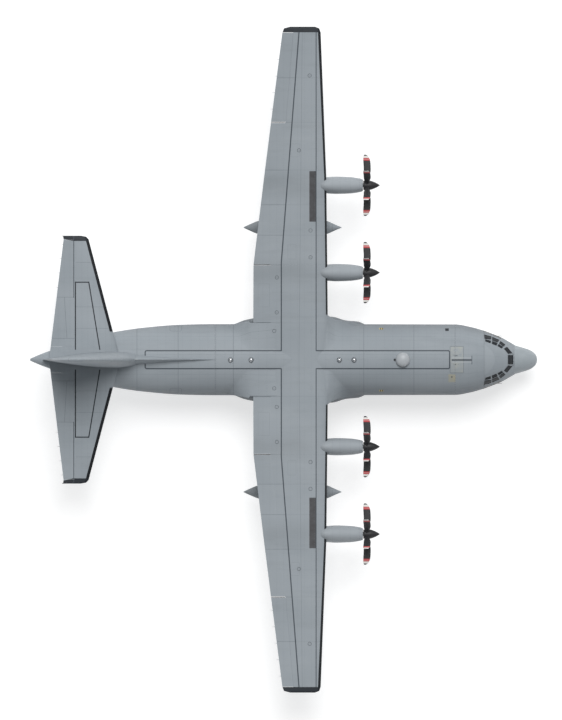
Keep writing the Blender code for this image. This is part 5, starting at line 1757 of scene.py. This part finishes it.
def makeWicks():
    def wicks(name, body, count, start, end):
        step = [(b - a) / (count - 1) for a, b in zip(start, end)]
        made = repeated(name, rod(*fittings["wick"]), "rig", count,
                        start, step, scatter=0.1, seed=5)
        dress(made, body, "rig", "grey_composite")

    for side, label in ((1, "left"), (-1, "right")):
        ends = [(between(wing["rows"], span)[1], side * span, wingPlane(span)) for span in (15.2, 19.2)]
        wicks("wicks_aileron_" + label, "aileron_" + label, 5, *ends)
        ends = [(between(tailplane["rows"], span)[1], side * span, tailplane["height"])
                for span in (4.4, 7.0)]
        wicks("wicks_elevator_" + label, "elevator_" + label, 4, *ends)
    ends = [(between(fin["rows"], rise)[1], 0, rise) for rise in (8.0, 11.3)]
    wicks("wicks_rudder", "rudder", 4, *ends)


def makeRivets():
    lines = []
    for x, low in hull["frames"]:
        steps = hull["steps"]
        for offset in (-0.05, 0.05):
            ring = hullRing(x + offset, -0.002)
            arc = [ring[i % steps] for i in range(2 - steps // 2, steps // 2 - 1)]
            lines.append([point for point in arc if point[2] > low])
    for side in (1, -1):
        place = wingPlace(side)
        for span in fittings["wingRibs"]:
            front, back = between(wing["rows"], span)[0] - 0.30, between(wing["hinge"], span)[0] + 0.12
            stops = [front - (front - back) * i / 10 for i in range(11)]
            for sign in (1, -1):
                lines.append([place(x, sign * (foilAt(wing["rows"], span, x) + 0.002), span) for x in stops])
        spans = [2.9 + 0.5 * i for i in range(34)]
        for shift in (-0.09, 0.09):
            lines.append([place(1.97 + shift, foilAt(wing["rows"], span, 1.97 + shift) + 0.002, span)
                          for span in spans])
    made = riveted("rivets", lines, "rivet", fittings["rivetPitch"], fittings["rivetSize"], 7)
    dress(made, "airframe", "rivet", "grey_skin")


def makeInside():
    wall, step = hull["wall"], fittings["hoopStep"]
    x = -4.0
    hoop = piece("hoop", hullBody(x, x + 0.05, wall - 0.01))
    cut(hoop, hullBody(x - 0.1, x + 0.2, wall + 0.07))
    cut(hoop, block(x - 0.1, x + 0.2, -3, 3, 0, 1.62))
    bm = regained(hoop)
    bmesh.ops.translate(bm, verts=bm.verts, vec=(-x, 0, 0))
    made = repeated("hull_frames", bm, "lining", 15, (fittings["hoopStart"], 0, 0), (step * 1.4, 0, 0))
    dress(made, "airframe", "lining", "interior_paint")
    radius = fittings["ringRadius"]
    loops = [[(radius * (1 + 0.16 * math.cos(v)) * math.cos(u),
               radius * (1 + 0.16 * math.cos(v)) * math.sin(u),
               radius * 0.16 * math.sin(v)) for v in (0, 1.57, 3.14, 4.71)]
             for u in (i * math.pi / 6 for i in range(12))]
    for row, y in enumerate(fittings["ringRows"]):
        made = repeated("tie_down_%d" % row, loft(loops, closed=True), "steel", 24, (-3.9, y, 1.038),
                        (step, 0, 0), (0, 0, 0.7), scatter=0.05, seed=row + 1)
        dress(made, "airframe", "steel", "interior_paint")


makeRoofParts()
makeAerials()
makeLamps()
makeWicks()
makeRivets()
makeInside()
print("fittings made")


# Light, floor and camera

stageLook = {
    "floor": tone(194, 194, 194),
    "floorPale": tone(197, 197, 197),
    "sky": (0.95, 0.975, 1.0, 1.0),
    "skyPower": 0.27,
    "lampPower": 2.35,
    "lampAngle": 35,
    "lampFrom": (0.04, 0.50, 1.0),
    "view": 21.84,
    "viewCentre": (-0.08, -0.01),
    "cameraHeight": 200,
    "floorReach": 300,
}


def makeStage():
    bm = bmesh.new()
    bmesh.ops.create_grid(bm, x_segments=2, y_segments=2, size=stageLook["floorReach"])
    mesh = bpy.data.meshes.new("floor")
    bm.to_mesh(mesh)
    bm.free()
    floor = linked("floor", mesh)
    bpy.context.scene.view_settings.view_transform = "Standard"
    paint = Paint("floorPaper", Roughness=0.9, Emission_Color=(1, 1, 1, 1), Emission_Strength=0.62)
    mesh.materials.append(paint.finish(paint.mix(paint.noise(2.0, 2.0), stageLook["floor"],
                                                 stageLook["floorPale"])))

    world = bpy.data.worlds.new("studio")
    bpy.context.scene.world = world
    world.use_nodes = True
    back = world.node_tree.nodes["Background"]
    back.inputs["Color"].default_value = stageLook["sky"]
    back.inputs["Strength"].default_value = stageLook["skyPower"]

    lamp = bpy.data.lights.new("softLamp", "SUN")
    lamp.energy = stageLook["lampPower"]
    lamp.angle = math.radians(stageLook["lampAngle"])
    made = linked("softLamp", lamp)
    made.rotation_euler = Vector(stageLook["lampFrom"]).to_track_quat("Z", "Y").to_euler()

    lens = bpy.data.cameras.new("camera")
    lens.type = "ORTHO"
    lens.ortho_scale = stageLook["view"]
    lens.clip_end = 5 * stageLook["cameraHeight"]
    camera = linked("camera", lens)
    camera.location = (*stageLook["viewCentre"], stageLook["cameraHeight"])
    bpy.context.scene.camera = camera


makeStage()
print("stage made")
